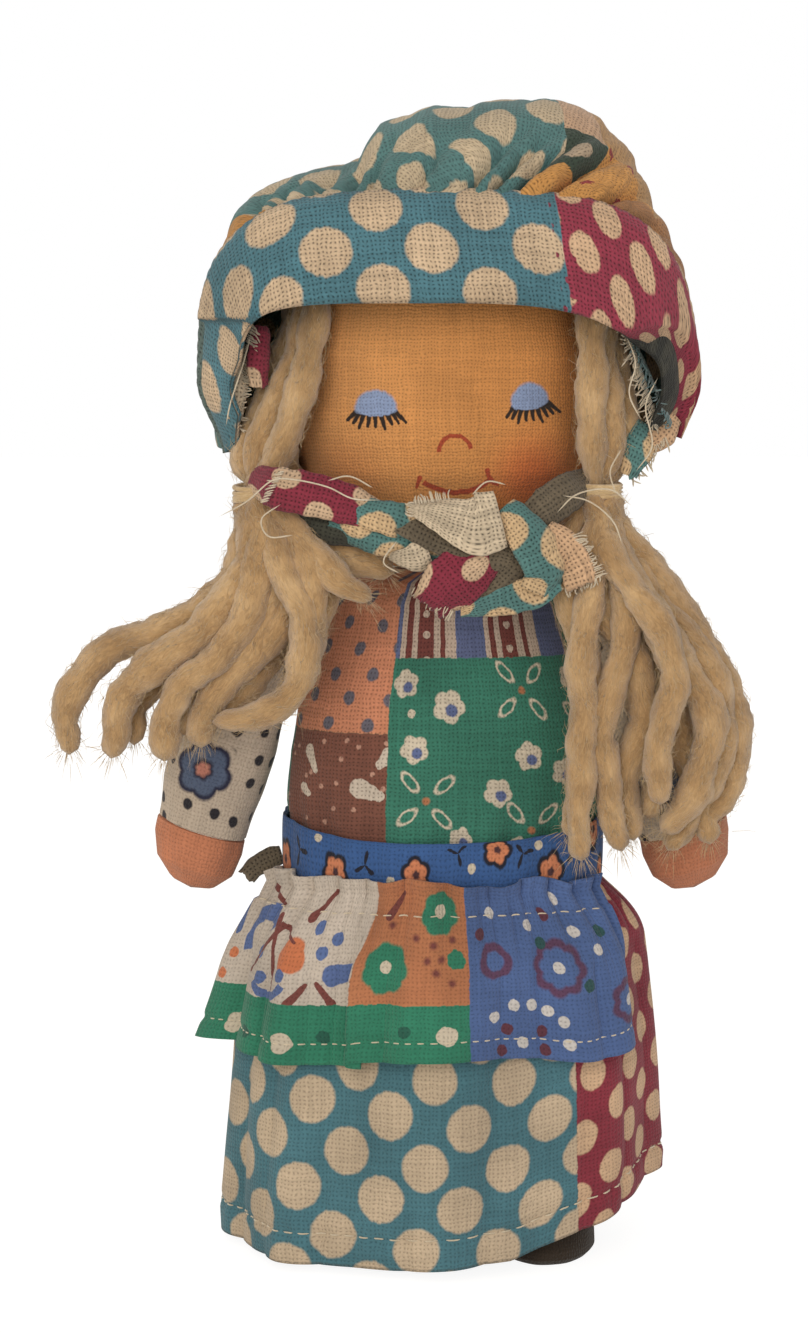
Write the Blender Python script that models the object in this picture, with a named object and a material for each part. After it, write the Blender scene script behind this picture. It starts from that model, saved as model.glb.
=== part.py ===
"""A pocket rag doll with a gathered bonnet, yarn hair, a patchwork body, a skirt, an apron and boots.

Blender 4.5, metres, +Z up. The doll stands on its boot soles at z = 0 and faces -Y. Its own right is
-X and its own left is +X. Every cloth bag is a cover with stuffing inside it. The legs turn at the hips,
the arms at the shoulders and the head at the neck, each round an empty on its axis.
"""

import math
from collections import namedtuple

import bmesh
import bpy
from mathutils import Vector

# Where the doll's midline stands, so that the middle of the whole model is at the origin
MIDLINE_X = 0.0056
MIDLINE_Y = -0.0024

# Cloth, gaps and facets
CLOTH = 0.0006
GAP = 0.0003
TORSO_SIDES = 22
HEAD_SIDES = 22
LIMB_SIDES = 14

# Legs and boots
HIP_Z = 0.0462
THIGH_RADIUS = 0.0072
KNEE_RADIUS = 0.0064
CROTCH_HALF_GAP = 0.0076
BOOT_TOP_Z = 0.0170
BOOT_ANKLE_RADIUS = 0.0066
BOOT_HALF_WIDTH = 0.0076
BOOT_TOE_Y = -0.0160
BOOT_HEEL_Y = 0.0100
SOLE_ROUND = 0.0008
BOOT_SQUARENESS = 2.2

# Body
TORSO_HEIGHT = 0.0452
HIP_ROUND = 0.0032
TORSO_HIP_HALF_WIDTH = 0.0220
TORSO_CHEST_HALF_WIDTH = 0.0222
SHOULDER_HALF_WIDTH = 0.0180
TORSO_HALF_DEPTH = 0.0132
SHOULDER_HALF_DEPTH = 0.0104
TORSO_SQUARENESS = 2.5

# Neck and head
NECK_RADIUS = 0.0074
NECK_HEIGHT = 0.0040
NECK_HOLE_RADIUS = 0.0050
HEAD_HEIGHT = 0.0465
HEAD_HALF_WIDTH = 0.0222
HEAD_HALF_DEPTH = 0.0172
HEAD_SQUARENESS = 2.35

# Arms
SHOULDER_DROP = 0.0092
ARM_LENGTH = 0.0395
ARM_TOP_RADIUS = 0.0058
ARM_RADIUS = 0.0076
HAND_RADIUS = 0.0066
HAND_LENGTH = 0.0092
ARM_TILT = math.radians(17.5)
ARM_BOW = 0.0015

# Hair, with heights above the bottom of the head
HAIR_THICKNESS = 0.0022
HAIRLINE_Y = -0.0060
HANK_RADIUS = 0.0038
HANK_END_RADIUS = 0.0025
HANK_TOP_RISE = 0.0365
HANK_SPREAD = {"r": 0.0060, "l": 0.0018}
HAIR_TIE_RISE = 0.0065
HAIR_TIE_THICKNESS = 0.0008
LOCK_START_RADIUS = 0.0010
LOCK_RADIUS = 0.0023

# Bonnet, with heights above the bottom of the head
BRIM_THICKNESS = 0.0018
BRIM_SIDES_RISE = 0.0175
BRIM_FRONT_Y = -0.0240
BRIM_FRONT_SIDE_Y = -0.0195
BRIM_BACK_Y = -0.0175
BRIM_BACK_SIDE_Y = -0.0085
BRIM_FRONT_HALF_WIDTH = 0.0285
BRIM_BACK_HALF_WIDTH = 0.0345
BRIM_FRONT_RISE = 0.0155
BRIM_BACK_RISE = 0.0305
BRIM_SQUARENESS = 2.9
BRIM_END_ANGLE = math.radians(103)
CROWN_BACK_Y = 0.0275
CROWN_POLE_X = 0.0025
CROWN_POLE_RISE = 0.0305
CROWN_CENTRE_Y = 0.0020
CROWN_CENTRE_RISE = 0.0245
CROWN_PUFF = 0.0052
CROWN_PEAK = 0.0066
CROWN_PEAK_ANGLE = math.radians(22)
CROWN_PEAK_SPREAD = math.radians(36)
CROWN_GATHERS = 12
GATHER_DEPTH = 0.0011
NAPE_RISE = 0.0075

# Bonnet tie
STRIP_WIDTH = 0.0064
STRIP_THICKNESS = 0.0010
KNOT_X = 0.0072
KNOT_DROP = 0.0020
KNOT_HALF_WIDTH = 0.0050
KNOT_HALF_HEIGHT = 0.0042
KNOT_HALF_DEPTH = 0.0024
KNOT_TILT = math.radians(-28)
CHIN_RISE = 0.0060
CHIN_CLEARANCE = 0.0008
KNOT_BACK_Y = -0.0170
STRIP_CORNER_OUT = 0.0022
STRIP_CORNER_BACK = 0.0022
STRIP_CORNER_DROP = 0.0004
STRIP_SAG = 0.0022
STRIP_BULGE = 0.0018
STRIP_END_RISE = 0.0016
STRIP_END_BACK = 0.0004

# The tie's ends: finish, width, and the places that each passes, from the knot's middle: sideways, back, up
TIE_ENDS = {
    "pale": ("cream", 0.0066, ((-0.0010, 0, 0.0022), (-0.0060, 0.0004, 0.0040), (-0.0108, 0.0010, 0.0052))),
    "crimson": ("crimson", 0.0056,
                ((-0.0004, 0.0004, -0.0026), (-0.0026, 0.0010, -0.0052), (-0.0052, 0.0018, -0.0080))),
    "teal": ("teal", 0.0060, ((0.0042, 0.0002, -0.0022), (0.0050, 0.0006, -0.0056), (0.0026, 0.0010, -0.0092))),
    "pink": ("pink", 0.0052, ((0.0062, 0.0006, 0.0018), (0.0098, 0.0014, 0.0002), (0.0142, 0.0022, -0.0012))),
}

# Waistband, skirt and apron
BAND_HEIGHT = 0.0080
BAND_THICKNESS = 0.0007
WAIST_END_Y = 0.0030
WAIST_END_WIDTH = 0.0030
WAIST_END_SPREAD = 0.0008
WAIST_END_RUN = ((-0.0016, 0.0004, -0.0002), (-0.0042, 0.0006, -0.0016))
SKIRT_THICKNESS = 0.0008
SKIRT_SIDES = 48
SKIRT_HEM_Z = 0.0024
SKIRT_HIP_HALF_WIDTH = 0.0284
SKIRT_HIP_HALF_DEPTH = 0.0176
SKIRT_HEM_HALF_WIDTH = 0.0312
SKIRT_HEM_HALF_DEPTH = 0.0216
SKIRT_FOLDS = 8
SKIRT_FOLD_DEPTH = 0.0009
SKIRT_LIFT = 0.0080
SKIRT_SQUARENESS = 2.2
APRON_LENGTH = 0.0220
APRON_FLARE = 0.0026
APRON_FOLDS = 8
APRON_FRILL = 0.0018
APRON_FRILL_OUT = 0.0013

Station = namedtuple("Station", "z half_width half_depth forward")


# Shared shapes

def material(name, colour, roughness=0.9):
    """A plain cloth or yarn finish."""
    made = bpy.data.materials.new(name)
    made.use_nodes = True
    shader = made.node_tree.nodes["Principled BSDF"]
    shader.inputs["Base Color"].default_value = (*colour, 1.0)
    shader.inputs["Roughness"].default_value = roughness
    shader.inputs["Metallic"].default_value = 0.0
    return made


def empty(name, location, parent=None, turn_y=0.0):
    """A guide that pieces hang from, placed on a joint's axis."""
    made = bpy.data.objects.new(name, None)
    bpy.context.scene.collection.objects.link(made)
    made.parent = parent
    made.location = location
    made.rotation_euler = (0.0, turn_y, 0.0)
    return made


def add_object(name, mesh_data, finish, parent, location=(0.0, 0.0, 0.0)):
    """One named piece in the scene."""
    mesh_data.materials.append(finish)
    made = bpy.data.objects.new(name, mesh_data)
    bpy.context.scene.collection.objects.link(made)
    made.parent = parent
    made.location = location
    return made


def loft(name, rings, finish, parent, tip_start=None, tip_end=None, closed=False, location=(0, 0, 0)):
    """Skin a row of rings with as many points each, and close its ends to a tip or a flat cap."""
    bm = bmesh.new()
    rows = [[bm.verts.new(point) for point in ring] for ring in rings]
    count = len(rows[0])
    pairs = list(zip(rows, rows[1:]))
    if closed:
        pairs.append((rows[-1], rows[0]))
    for low, high in pairs:
        for index in range(count):
            following = (index + 1) % count
            bm.faces.new((low[index], low[following], high[following], high[index]))
    if not closed:
        for row, tip in ((rows[0], tip_start), (rows[-1], tip_end)):
            if tip is None:
                bm.faces.new(row)
            else:
                point = bm.verts.new(tip)
                for index in range(count):
                    bm.faces.new((row[index], row[(index + 1) % count], point))
    bmesh.ops.recalc_face_normals(bm, faces=bm.faces)
    mesh_data = bpy.data.meshes.new(name)
    bm.to_mesh(mesh_data)
    bm.free()
    mesh_data.shade_smooth()
    mesh_data.set_sharp_from_angle(angle=math.radians(50))
    return add_object(name, mesh_data, finish, parent, location)


def superellipse(angle, half_width, half_depth, squareness):
    """A point of a rounded box outline; an exponent of 2 is a plain ellipse."""
    across, along = math.cos(angle), math.sin(angle)
    power = 2.0 / squareness
    return (half_width * math.copysign(abs(across) ** power, across),
            half_depth * math.copysign(abs(along) ** power, along))


def ring(station, sides, squareness=2.0, grow=0.0, shift_x=0.0):
    """A level ring of points at a station, made larger all round by grow."""
    points = []
    for index in range(sides):
        angle = math.tau * index / sides
        x, y = superellipse(angle, station.half_width + grow, station.half_depth + grow, squareness)
        points.append(Vector((x + shift_x, y - station.forward, station.z)))
    return points


def rounded_end(tip_z, full_z, half_width, half_depth, steps, flatness=1.0):
    """Stations of a rounded end, from just off the tip to full size; flatness below 1 squares it."""
    rows = []
    for step in range(1, steps + 1):
        turn = math.radians(90) * step / steps
        level = full_z + (tip_z - full_z) * math.cos(turn)
        out = math.sin(turn) ** flatness
        rows.append(Station(level, half_width * out, half_depth * out, 0.0))
    return rows


def size_at(stations, z):
    """Half width and half depth of a lofted form at height z, straight between its stations."""
    rows = sorted(stations)
    if z <= rows[0].z:
        return rows[0].half_width, rows[0].half_depth
    for low, high in zip(rows, rows[1:]):
        if z <= high.z:
            share = (z - low.z) / (high.z - low.z)
            return (low.half_width + share * (high.half_width - low.half_width),
                    low.half_depth + share * (high.half_depth - low.half_depth))
    return rows[-1].half_width, rows[-1].half_depth


def smooth_route(points, steps):
    """A smooth curve through hand-placed points, with steps pieces between each two."""
    route = []
    places = [Vector(point) for point in points]
    padded = [2 * places[0] - places[1], *places, 2 * places[-1] - places[-2]]
    for index in range(1, len(padded) - 2):
        before, start, end, after = padded[index - 1:index + 3]
        for step in range(steps):
            t = step / steps
            route.append(0.5 * (2 * start + (end - before) * t
                                + (2 * before - 5 * start + 4 * end - after) * t * t
                                + (3 * start - before - 3 * end + after) * t ** 3))
    route.append(places[-1])
    return route


def swept(name, route, section_at, finish, parent):
    """Sweep a section along a route; section_at gives (across, outward) points for a share of the way."""
    rings = []
    last = len(route) - 1
    for index, place in enumerate(route):
        along = (route[min(index + 1, last)] - route[max(index - 1, 0)]).normalized()
        outward, points = section_at(index / last)
        outward = (outward - along * outward.dot(along)).normalized()
        across = along.cross(outward)
        rings.append([place + across * a + outward * b for a, b in points])
    return loft(name, rings, finish, parent)


def round_section(radius_at, sides, outward=Vector((0, -1, 0))):
    """A round section whose radius follows the share of the way."""
    def at(share):
        radius = radius_at(share)
        points = []
        for index in range(sides):
            angle = math.tau * index / sides
            points.append((radius * math.cos(angle), radius * math.sin(angle)))
        return outward, points
    return at


def strip_section(width_at, thickness, outward_at):
    """A flat strip's section with softened edges; outward_at says which way its face looks."""
    def at(share):
        half = width_at(share) / 2
        depth = thickness / 2
        points = [(-half, 0.0), (-half + depth, -depth), (half - depth, -depth),
                  (half, 0.0), (half - depth, depth), (-half + depth, depth)]
        return outward_at(share), points
    return at


def cut(target, name, size, centre, turn_x=0.0):
    """Cut a box out of a piece."""
    bm = bmesh.new()
    bmesh.ops.create_cube(bm, size=1.0)
    bmesh.ops.scale(bm, vec=size, verts=bm.verts)
    data = bpy.data.meshes.new(name)
    bm.to_mesh(data)
    bm.free()
    tool = bpy.data.objects.new(name, data)
    bpy.context.scene.collection.objects.link(tool)
    tool.parent = target.parent
    tool.location = centre
    tool.rotation_euler = (turn_x, 0.0, 0.0)
    tool.hide_render = True
    tool.display_type = "WIRE"
    modifier = target.modifiers.new(name, "BOOLEAN")
    modifier.operation = "DIFFERENCE"
    modifier.object = tool


# Heights that the pieces share

TORSO_BOTTOM = HIP_Z + THIGH_RADIUS + GAP
TORSO_TOP = TORSO_BOTTOM + TORSO_HEIGHT
NECK_Z = TORSO_TOP + GAP + NECK_HEIGHT / 2
HEAD_BOTTOM = TORSO_TOP + NECK_HEIGHT + 2 * GAP
SHOULDER_Z = TORSO_TOP - SHOULDER_DROP
BAND_BOTTOM = TORSO_BOTTOM + GAP
LEG_X = CROTCH_HALF_GAP + THIGH_RADIUS
HANK_TOP_Z = HEAD_BOTTOM + HANK_TOP_RISE
HAIR_TIE_Z = HEAD_BOTTOM + HAIR_TIE_RISE
BRIM_SIDES_Z = HEAD_BOTTOM + BRIM_SIDES_RISE
NAPE_Z = HEAD_BOTTOM + NAPE_RISE
KNOT_Z = HEAD_BOTTOM - KNOT_DROP


# Body

def torso_stations():
    """The patchwork body, from its rounded bottom to the neck hole."""
    bottom = rounded_end(TORSO_BOTTOM, TORSO_BOTTOM + HIP_ROUND, TORSO_HIP_HALF_WIDTH,
                         TORSO_HALF_DEPTH * 0.94, 3, 0.42)
    chest_z = TORSO_BOTTOM + TORSO_HEIGHT * 0.42
    waist_z = (bottom[-1].z + chest_z) / 2
    above = TORSO_TOP - SHOULDER_Z
    shoulder_hw, shoulder_hd = SHOULDER_HALF_WIDTH, SHOULDER_HALF_DEPTH
    return bottom + [
        Station(waist_z, (TORSO_HIP_HALF_WIDTH + TORSO_CHEST_HALF_WIDTH) / 2 + CLOTH, TORSO_HALF_DEPTH, 0),
        Station(chest_z, TORSO_CHEST_HALF_WIDTH, TORSO_HALF_DEPTH, 0),
        Station((chest_z + SHOULDER_Z) / 2, (TORSO_CHEST_HALF_WIDTH + shoulder_hw) / 2 + CLOTH,
                (TORSO_HALF_DEPTH + shoulder_hd) / 2 + CLOTH, 0),
        Station(SHOULDER_Z, shoulder_hw, shoulder_hd, 0),
        Station(SHOULDER_Z + above * 0.5, shoulder_hw * 0.92, shoulder_hd * 0.9, 0),
        Station(SHOULDER_Z + above * 0.83, shoulder_hw * 0.76, shoulder_hd * 0.8, 0),
        Station(TORSO_TOP, NECK_RADIUS, NECK_RADIUS * 0.9, 0),
    ]


TORSO = torso_stations()


def bag(cover_name, filling_name, stations, sides, squareness, finish, filling, parent, hole):
    """A cloth cover that is open at its top, and the stuffing that fills it."""
    wall = CLOTH
    inset = CLOTH + GAP
    outer = [ring(station, sides, squareness) for station in stations]
    inner = [ring(station, sides, squareness, -wall) for station in stations]
    tip = Vector((0, 0, stations[0].z))
    lift = Vector((0, 0, wall))
    inner = [[point + lift * share for point in row] for row, share in zip(inner, (1, 0.6, 0.2))] + inner[3:]
    mouth = [ring(Station(stations[-1].z, hole, hole, 0), sides)]
    mouth_inside = [ring(Station(stations[-1].z - wall, hole, hole, 0), sides)]
    below = inner[:-1]
    lip = [[point - lift for point in ring(stations[-1], sides, squareness, -wall)]]
    rings = outer + mouth + mouth_inside + lip + list(reversed(below))
    loft(cover_name, rings, finish, parent, tip, tip + lift)
    core = [ring(station, sides, squareness, -inset) for station in stations[:-1]]
    rise = Vector((0, 0, inset))
    core = [[point + rise * share for point in row] for row, share in zip(core, (1, 0.7, 0.3))] + core[3:]
    top = Vector((0, 0, stations[-1].z - wall - GAP))
    neck = [[point - rise for point in ring(stations[-1], sides, squareness, -inset)]]
    loft(filling_name, core + neck, filling, parent, tip + rise, top - Vector((0, 0, GAP)))


def make_torso(parent, finishes):
    """Body cover and stuffing, with the calico band and the cloth end at the waist."""
    bag("torso_cover", "torso_stuffing", TORSO, TORSO_SIDES, TORSO_SQUARENESS,
        finishes["patchwork"], finishes["stuffing"], parent, NECK_HOLE_RADIUS)
    full_z = TORSO_BOTTOM + HIP_ROUND
    outer, inner = [], []
    for share in (0.0, 0.25, 0.62, 1.0):
        z = BAND_BOTTOM + BAND_HEIGHT * share
        half_width, half_depth = size_at(TORSO, max(z, full_z))
        level = Station(z, half_width, half_depth, 0.0)
        inner.append(ring(level, TORSO_SIDES, TORSO_SQUARENESS, GAP))
        outer.append(ring(level, TORSO_SIDES, TORSO_SQUARENESS, GAP + BAND_THICKNESS))
    loft("waistband", outer + list(reversed(inner)), finishes["blue_calico"], parent, closed=True)
    start_y = WAIST_END_Y
    level = BAND_BOTTOM + BAND_HEIGHT * 0.45
    half_width, half_depth = size_at(TORSO, level)
    across = (1 - (start_y / half_depth) ** TORSO_SQUARENESS) ** (1 / TORSO_SQUARENESS)
    start = Vector((-half_width * across - BAND_THICKNESS - 2 * GAP, start_y, level))
    route = smooth_route([start, *[start + Vector(offset) for offset in WAIST_END_RUN]], 3)
    swept("waist_end", route, strip_section(lambda share: WAIST_END_WIDTH + WAIST_END_SPREAD * share,
                                            STRIP_THICKNESS, lambda share: Vector((0, 0, 1))),
          finishes["cream"], parent)


# Neck and head

def head_stations():
    """The head, from the neck hole to the crown: a full cushion, flatter at front and back."""
    rows = []
    for share, width, depth in ((0.0, 0.40, 0.42), (0.035, 0.60, 0.62), (0.10, 0.80, 0.80), (0.20, 0.93, 0.925),
                                (0.36, 1.0, 0.995), (0.56, 0.995, 1.0), (0.73, 0.915, 0.92),
                                (0.86, 0.74, 0.75), (0.955, 0.44, 0.45)):
        rows.append(Station(HEAD_BOTTOM + HEAD_HEIGHT * share, HEAD_HALF_WIDTH * width,
                            HEAD_HALF_DEPTH * depth, 0.0))
    return rows


HEAD = head_stations()
HEAD_TOP = HEAD_BOTTOM + HEAD_HEIGHT


def make_neck(parent, finishes):
    """The short stuffed neck, drawn in at its middle."""
    low, high = TORSO_TOP + GAP, TORSO_TOP + GAP + NECK_HEIGHT
    rows = [Station(low, NECK_RADIUS, NECK_RADIUS * 0.9, 0),
            Station((low + high) / 2, NECK_RADIUS * 0.92, NECK_RADIUS * 0.84, 0),
            Station(high, NECK_RADIUS, NECK_RADIUS * 0.9, 0)]
    loft("neck", [ring(row, LIMB_SIDES) for row in rows], finishes["face"], parent)


def make_head(parent, finishes):
    """Head cover, open at the neck, and its stuffing."""
    outer = [ring(row, HEAD_SIDES, HEAD_SQUARENESS) for row in HEAD]
    inner = [ring(row, HEAD_SIDES, HEAD_SQUARENESS, -CLOTH) for row in HEAD[1:]]
    mouth = ring(Station(HEAD_BOTTOM, NECK_HOLE_RADIUS, NECK_HOLE_RADIUS, 0), HEAD_SIDES)
    mouth_inside = [point + Vector((0, 0, CLOTH)) for point in mouth]
    tip = Vector((0, 0, HEAD_TOP))
    rings = list(reversed(outer)) + [mouth, mouth_inside] + inner
    loft("head_cover", rings, finishes["face"], parent, tip, tip - Vector((0, 0, CLOTH)))
    core = [ring(row, HEAD_SIDES, HEAD_SQUARENESS, -CLOTH - GAP) for row in HEAD[1:]]
    low = Vector((0, 0, HEAD_BOTTOM + CLOTH + GAP))
    loft("head_stuffing", core, finishes["stuffing"], parent, low, tip - Vector((0, 0, CLOTH + GAP)))


# Arms

def arm_stations():
    """An arm along -Z from its shoulder pivot: round at the shoulder, full at the elbow, a mitten hand."""
    seam = ARM_LENGTH - HAND_LENGTH
    shoulder = rounded_end(ARM_TOP_RADIUS, 0.0, ARM_TOP_RADIUS, ARM_TOP_RADIUS, 3)
    sleeve = [Station(-seam * share, ARM_TOP_RADIUS + (ARM_RADIUS - ARM_TOP_RADIUS) * swell,
                      ARM_TOP_RADIUS + (ARM_RADIUS - ARM_TOP_RADIUS) * swell * 0.8, 0.0)
              for share, swell in ((0.25, 0.45), (0.55, 1.0), (0.8, 0.85))]
    wrist = Station(-seam, HAND_RADIUS, HAND_RADIUS * 0.94, 0.0)
    tip_rows = rounded_end(-ARM_LENGTH, -seam - HAND_LENGTH * 0.25, HAND_RADIUS, HAND_RADIUS * 0.92, 3)
    return shoulder + sleeve, wrist, list(reversed(tip_rows))


def bow(z):
    """How far the arm's middle stands out sideways at a distance down from the shoulder."""
    share = min(max(-z / ARM_LENGTH, 0.0), 1.0)
    return ARM_BOW * math.sin(math.pi * share)


def shoulder_x():
    """The nearest the shoulder pivot can be to the body with the hanging arm just clear of it."""
    sleeve, wrist, hand = arm_stations()
    needed = []
    for row in [*sleeve, wrist, *hand]:
        for share in (-1.0, 0.0, 1.0):
            level = SHOULDER_Z + row.z * math.cos(ARM_TILT) + share * row.half_width * math.sin(ARM_TILT)
            reach = row.half_width / math.cos(ARM_TILT) + row.z * math.sin(ARM_TILT) - bow(row.z)
            needed.append(size_at(TORSO, level)[0] + GAP + reach)
    return max(needed)


def make_arm(side, name, parent, finishes):
    """Sleeve, hand and stuffing of one arm, in the frame of its shoulder pivot."""
    sleeve, wrist, hand = arm_stations()

    def level_ring(row, grow=0.0, drop=0.0):
        moved = Station(row.z - drop, row.half_width, row.half_depth, 0.0)
        return ring(moved, LIMB_SIDES, 2.0, grow, side * bow(row.z))

    tip = Vector((0, 0, ARM_TOP_RADIUS))
    wrist_inside = [level_ring(wrist, -CLOTH)]
    outer = [level_ring(row) for row in sleeve] + [level_ring(wrist)]
    inner = [level_ring(row, -CLOTH) for row in sleeve]
    loft("sleeve_" + name, outer + wrist_inside + list(reversed(inner)), finishes["sleeve"], parent,
         tip, tip - Vector((0, 0, CLOTH)))
    end = Vector((0, 0, -ARM_LENGTH))
    outer = [level_ring(wrist, 0.0, GAP)] + [level_ring(row) for row in hand]
    inner = [level_ring(wrist, -CLOTH, GAP)] + [level_ring(row, -CLOTH) for row in hand]
    loft("hand_" + name, list(reversed(outer)) + inner, finishes["coral"], parent,
         end, end + Vector((0, 0, CLOTH)))
    inset = CLOTH + GAP
    core = [level_ring(row, -inset) for row in [*sleeve, wrist, *hand]]
    loft("arm_stuffing_" + name, core, finishes["stuffing"], parent,
         tip - Vector((0, 0, inset)), end + Vector((0, 0, inset)))


# Legs

def leg_stations():
    """A leg along -Z from its hip pivot, down to the top of the boot."""
    top = rounded_end(THIGH_RADIUS, 0.0, THIGH_RADIUS, THIGH_RADIUS, 3)
    length = HIP_Z - BOOT_TOP_Z
    return top + [
        Station(-length * 0.5, (THIGH_RADIUS + KNEE_RADIUS) / 2, (THIGH_RADIUS + KNEE_RADIUS) / 2, 0.0),
        Station(-length * 0.8, KNEE_RADIUS, KNEE_RADIUS, 0.0),
        Station(-length, BOOT_ANKLE_RADIUS, BOOT_ANKLE_RADIUS, 0.0),
    ]


def boot_stations():
    """A soft boot from its top edge to its flat sole, with the toe forward."""
    sole = -HIP_Z
    length = (BOOT_HEEL_Y - BOOT_TOE_Y) / 2
    middle = -(BOOT_HEEL_Y + BOOT_TOE_Y) / 2
    top = -(HIP_Z - BOOT_TOP_Z)
    return [
        Station(top - GAP, BOOT_ANKLE_RADIUS, BOOT_ANKLE_RADIUS, 0.0),
        Station(top * 0.55 + sole * 0.45, BOOT_ANKLE_RADIUS, length * 0.62, middle * 0.35),
        Station(top * 0.32 + sole * 0.68, BOOT_HALF_WIDTH * 0.96, length * 0.86, middle * 0.78),
        Station(top * 0.12 + sole * 0.88, BOOT_HALF_WIDTH, length, middle),
        Station(sole + SOLE_ROUND, BOOT_HALF_WIDTH, length, middle),
        Station(sole, BOOT_HALF_WIDTH - SOLE_ROUND, length - SOLE_ROUND, middle),
    ]


def make_leg(name, parent, finishes):
    """Stocking leg, boot and stuffing, in the frame of the hip pivot."""
    leg, boot = leg_stations(), boot_stations()
    tip = Vector((0, 0, THIGH_RADIUS))
    outer = [ring(row, LIMB_SIDES) for row in leg]
    inner = [ring(row, LIMB_SIDES, 2.0, -CLOTH) for row in leg]
    loft("leg_" + name, outer + list(reversed(inner)), finishes["stocking"], parent,
         tip, tip - Vector((0, 0, CLOTH)))
    outer = [ring(row, LIMB_SIDES, BOOT_SQUARENESS) for row in boot]
    inner = [ring(row, LIMB_SIDES, BOOT_SQUARENESS, -CLOTH) for row in boot[:-1]]
    inner_sole = [ring(Station(boot[-1].z + CLOTH, *boot[-1][1:]), LIMB_SIDES, BOOT_SQUARENESS, -CLOTH)]
    inner[-1] = [point + Vector((0, 0, CLOTH)) for point in inner[-1]]
    loft("boot_" + name, list(reversed(outer)) + inner + inner_sole, finishes["boot"], parent)
    inset = CLOTH + GAP
    core = [ring(row, LIMB_SIDES, 2.0, -inset) for row in leg]
    core += [ring(row, LIMB_SIDES, BOOT_SQUARENESS, -inset) for row in boot[1:-2]]
    core.append(ring(Station(boot[-1].z + 2 * inset, *boot[-2][1:]), LIMB_SIDES, BOOT_SQUARENESS, -inset))
    core.append(ring(Station(boot[-1].z + inset, *boot[-1][1:]), LIMB_SIDES, BOOT_SQUARENESS, -inset))
    loft("leg_stuffing_" + name, core, finishes["stuffing"], parent, tip - Vector((0, 0, inset)))


# Skirt and apron

def skirt_point(angle, share, grow):
    """A point of the skirt's outer face, share of the way from waist to hem, grown outwards."""
    top = BAND_BOTTOM - GAP
    waist_width, waist_depth = size_at(TORSO, TORSO_BOTTOM + HIP_ROUND)
    waist_width += GAP + BAND_THICKNESS
    waist_depth += GAP + BAND_THICKNESS
    hip_share = 0.20
    if share < hip_share:
        part = math.sin(math.radians(90) * share / hip_share)
        half_width = waist_width + (SKIRT_HIP_HALF_WIDTH - waist_width) * part
        half_depth = waist_depth + (SKIRT_HIP_HALF_DEPTH - waist_depth) * part
    else:
        part = math.sin(math.radians(90) * (share - hip_share) / (1 - hip_share))
        half_width = SKIRT_HIP_HALF_WIDTH + (SKIRT_HEM_HALF_WIDTH - SKIRT_HIP_HALF_WIDTH) * part
        half_depth = SKIRT_HIP_HALF_DEPTH + (SKIRT_HEM_HALF_DEPTH - SKIRT_HIP_HALF_DEPTH) * part
    fold = SKIRT_FOLD_DEPTH * min(1.0, share / hip_share) * math.cos(SKIRT_FOLDS * angle)
    x, y = superellipse(angle, half_width + fold + grow, half_depth + fold + grow, SKIRT_SQUARENESS)
    lifted = max(0.0, math.cos(wrapped(angle) * 90 / 70)) if abs(wrapped(angle)) < math.radians(70) else 0.0
    hem = SKIRT_HEM_Z + SKIRT_LIFT * lifted
    return Vector((x, y, top + (hem - top) * share))


def wrapped(angle):
    """An angle brought between -180 and 180 degrees, 0 at the doll's left side."""
    return (angle + math.pi) % math.tau - math.pi


def make_skirt(parent, finishes):
    """A gathered tube with its main folds, lifted a little at the doll's left."""
    shares = (0.0, 0.10, 0.20, 0.40, 0.62, 0.82, 1.0)
    angles = [math.tau * index / SKIRT_SIDES for index in range(SKIRT_SIDES)]
    outer = [[skirt_point(angle, share, 0.0) for angle in angles] for share in shares]
    inner = [[skirt_point(angle, share, -SKIRT_THICKNESS) for angle in angles] for share in shares]
    loft("skirt", outer + list(reversed(inner)), finishes["teal"], parent, closed=True)


def make_apron(parent, finishes):
    """A short apron over the front of the skirt, with a frill at its top and folds at its bottom."""
    step = math.tau / SKIRT_SIDES
    first = round(math.radians(-172) / step)
    last = round(math.radians(-28) / step)
    skirt_length = BAND_BOTTOM - GAP - SKIRT_HEM_Z
    rings = []
    for index in range(first, last + 1):
        angle = index * step
        wave = 0.5 + 0.5 * math.cos(APRON_FOLDS * angle + 0.6)
        lift = Vector((0, 0, APRON_FRILL))
        frill = APRON_FRILL_OUT + APRON_FLARE * wave / 3
        inner = [skirt_point(angle, 0.0, frill) + lift]
        outer = [skirt_point(angle, 0.0, frill + SKIRT_THICKNESS) + lift]
        for part in (0.04, 0.12, 0.25, 0.5, 0.75, 1.0):
            share = part * APRON_LENGTH / skirt_length
            out = GAP * 1.6 + APRON_FLARE * part * wave
            inner.append(skirt_point(angle, share, out))
            outer.append(skirt_point(angle, share, out + SKIRT_THICKNESS))
        rings.append(outer + list(reversed(inner)))
    loft("apron", rings, finishes["apron"], parent)


# Hair

def head_side(z, angle, out):
    """A point beside the head at height z, at an angle from the doll's left towards its back."""
    half_width, half_depth = size_at(HEAD, z)
    x, y = superellipse(angle, half_width + out, half_depth + out, HEAD_SQUARENESS)
    return Vector((x, y, z))


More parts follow.
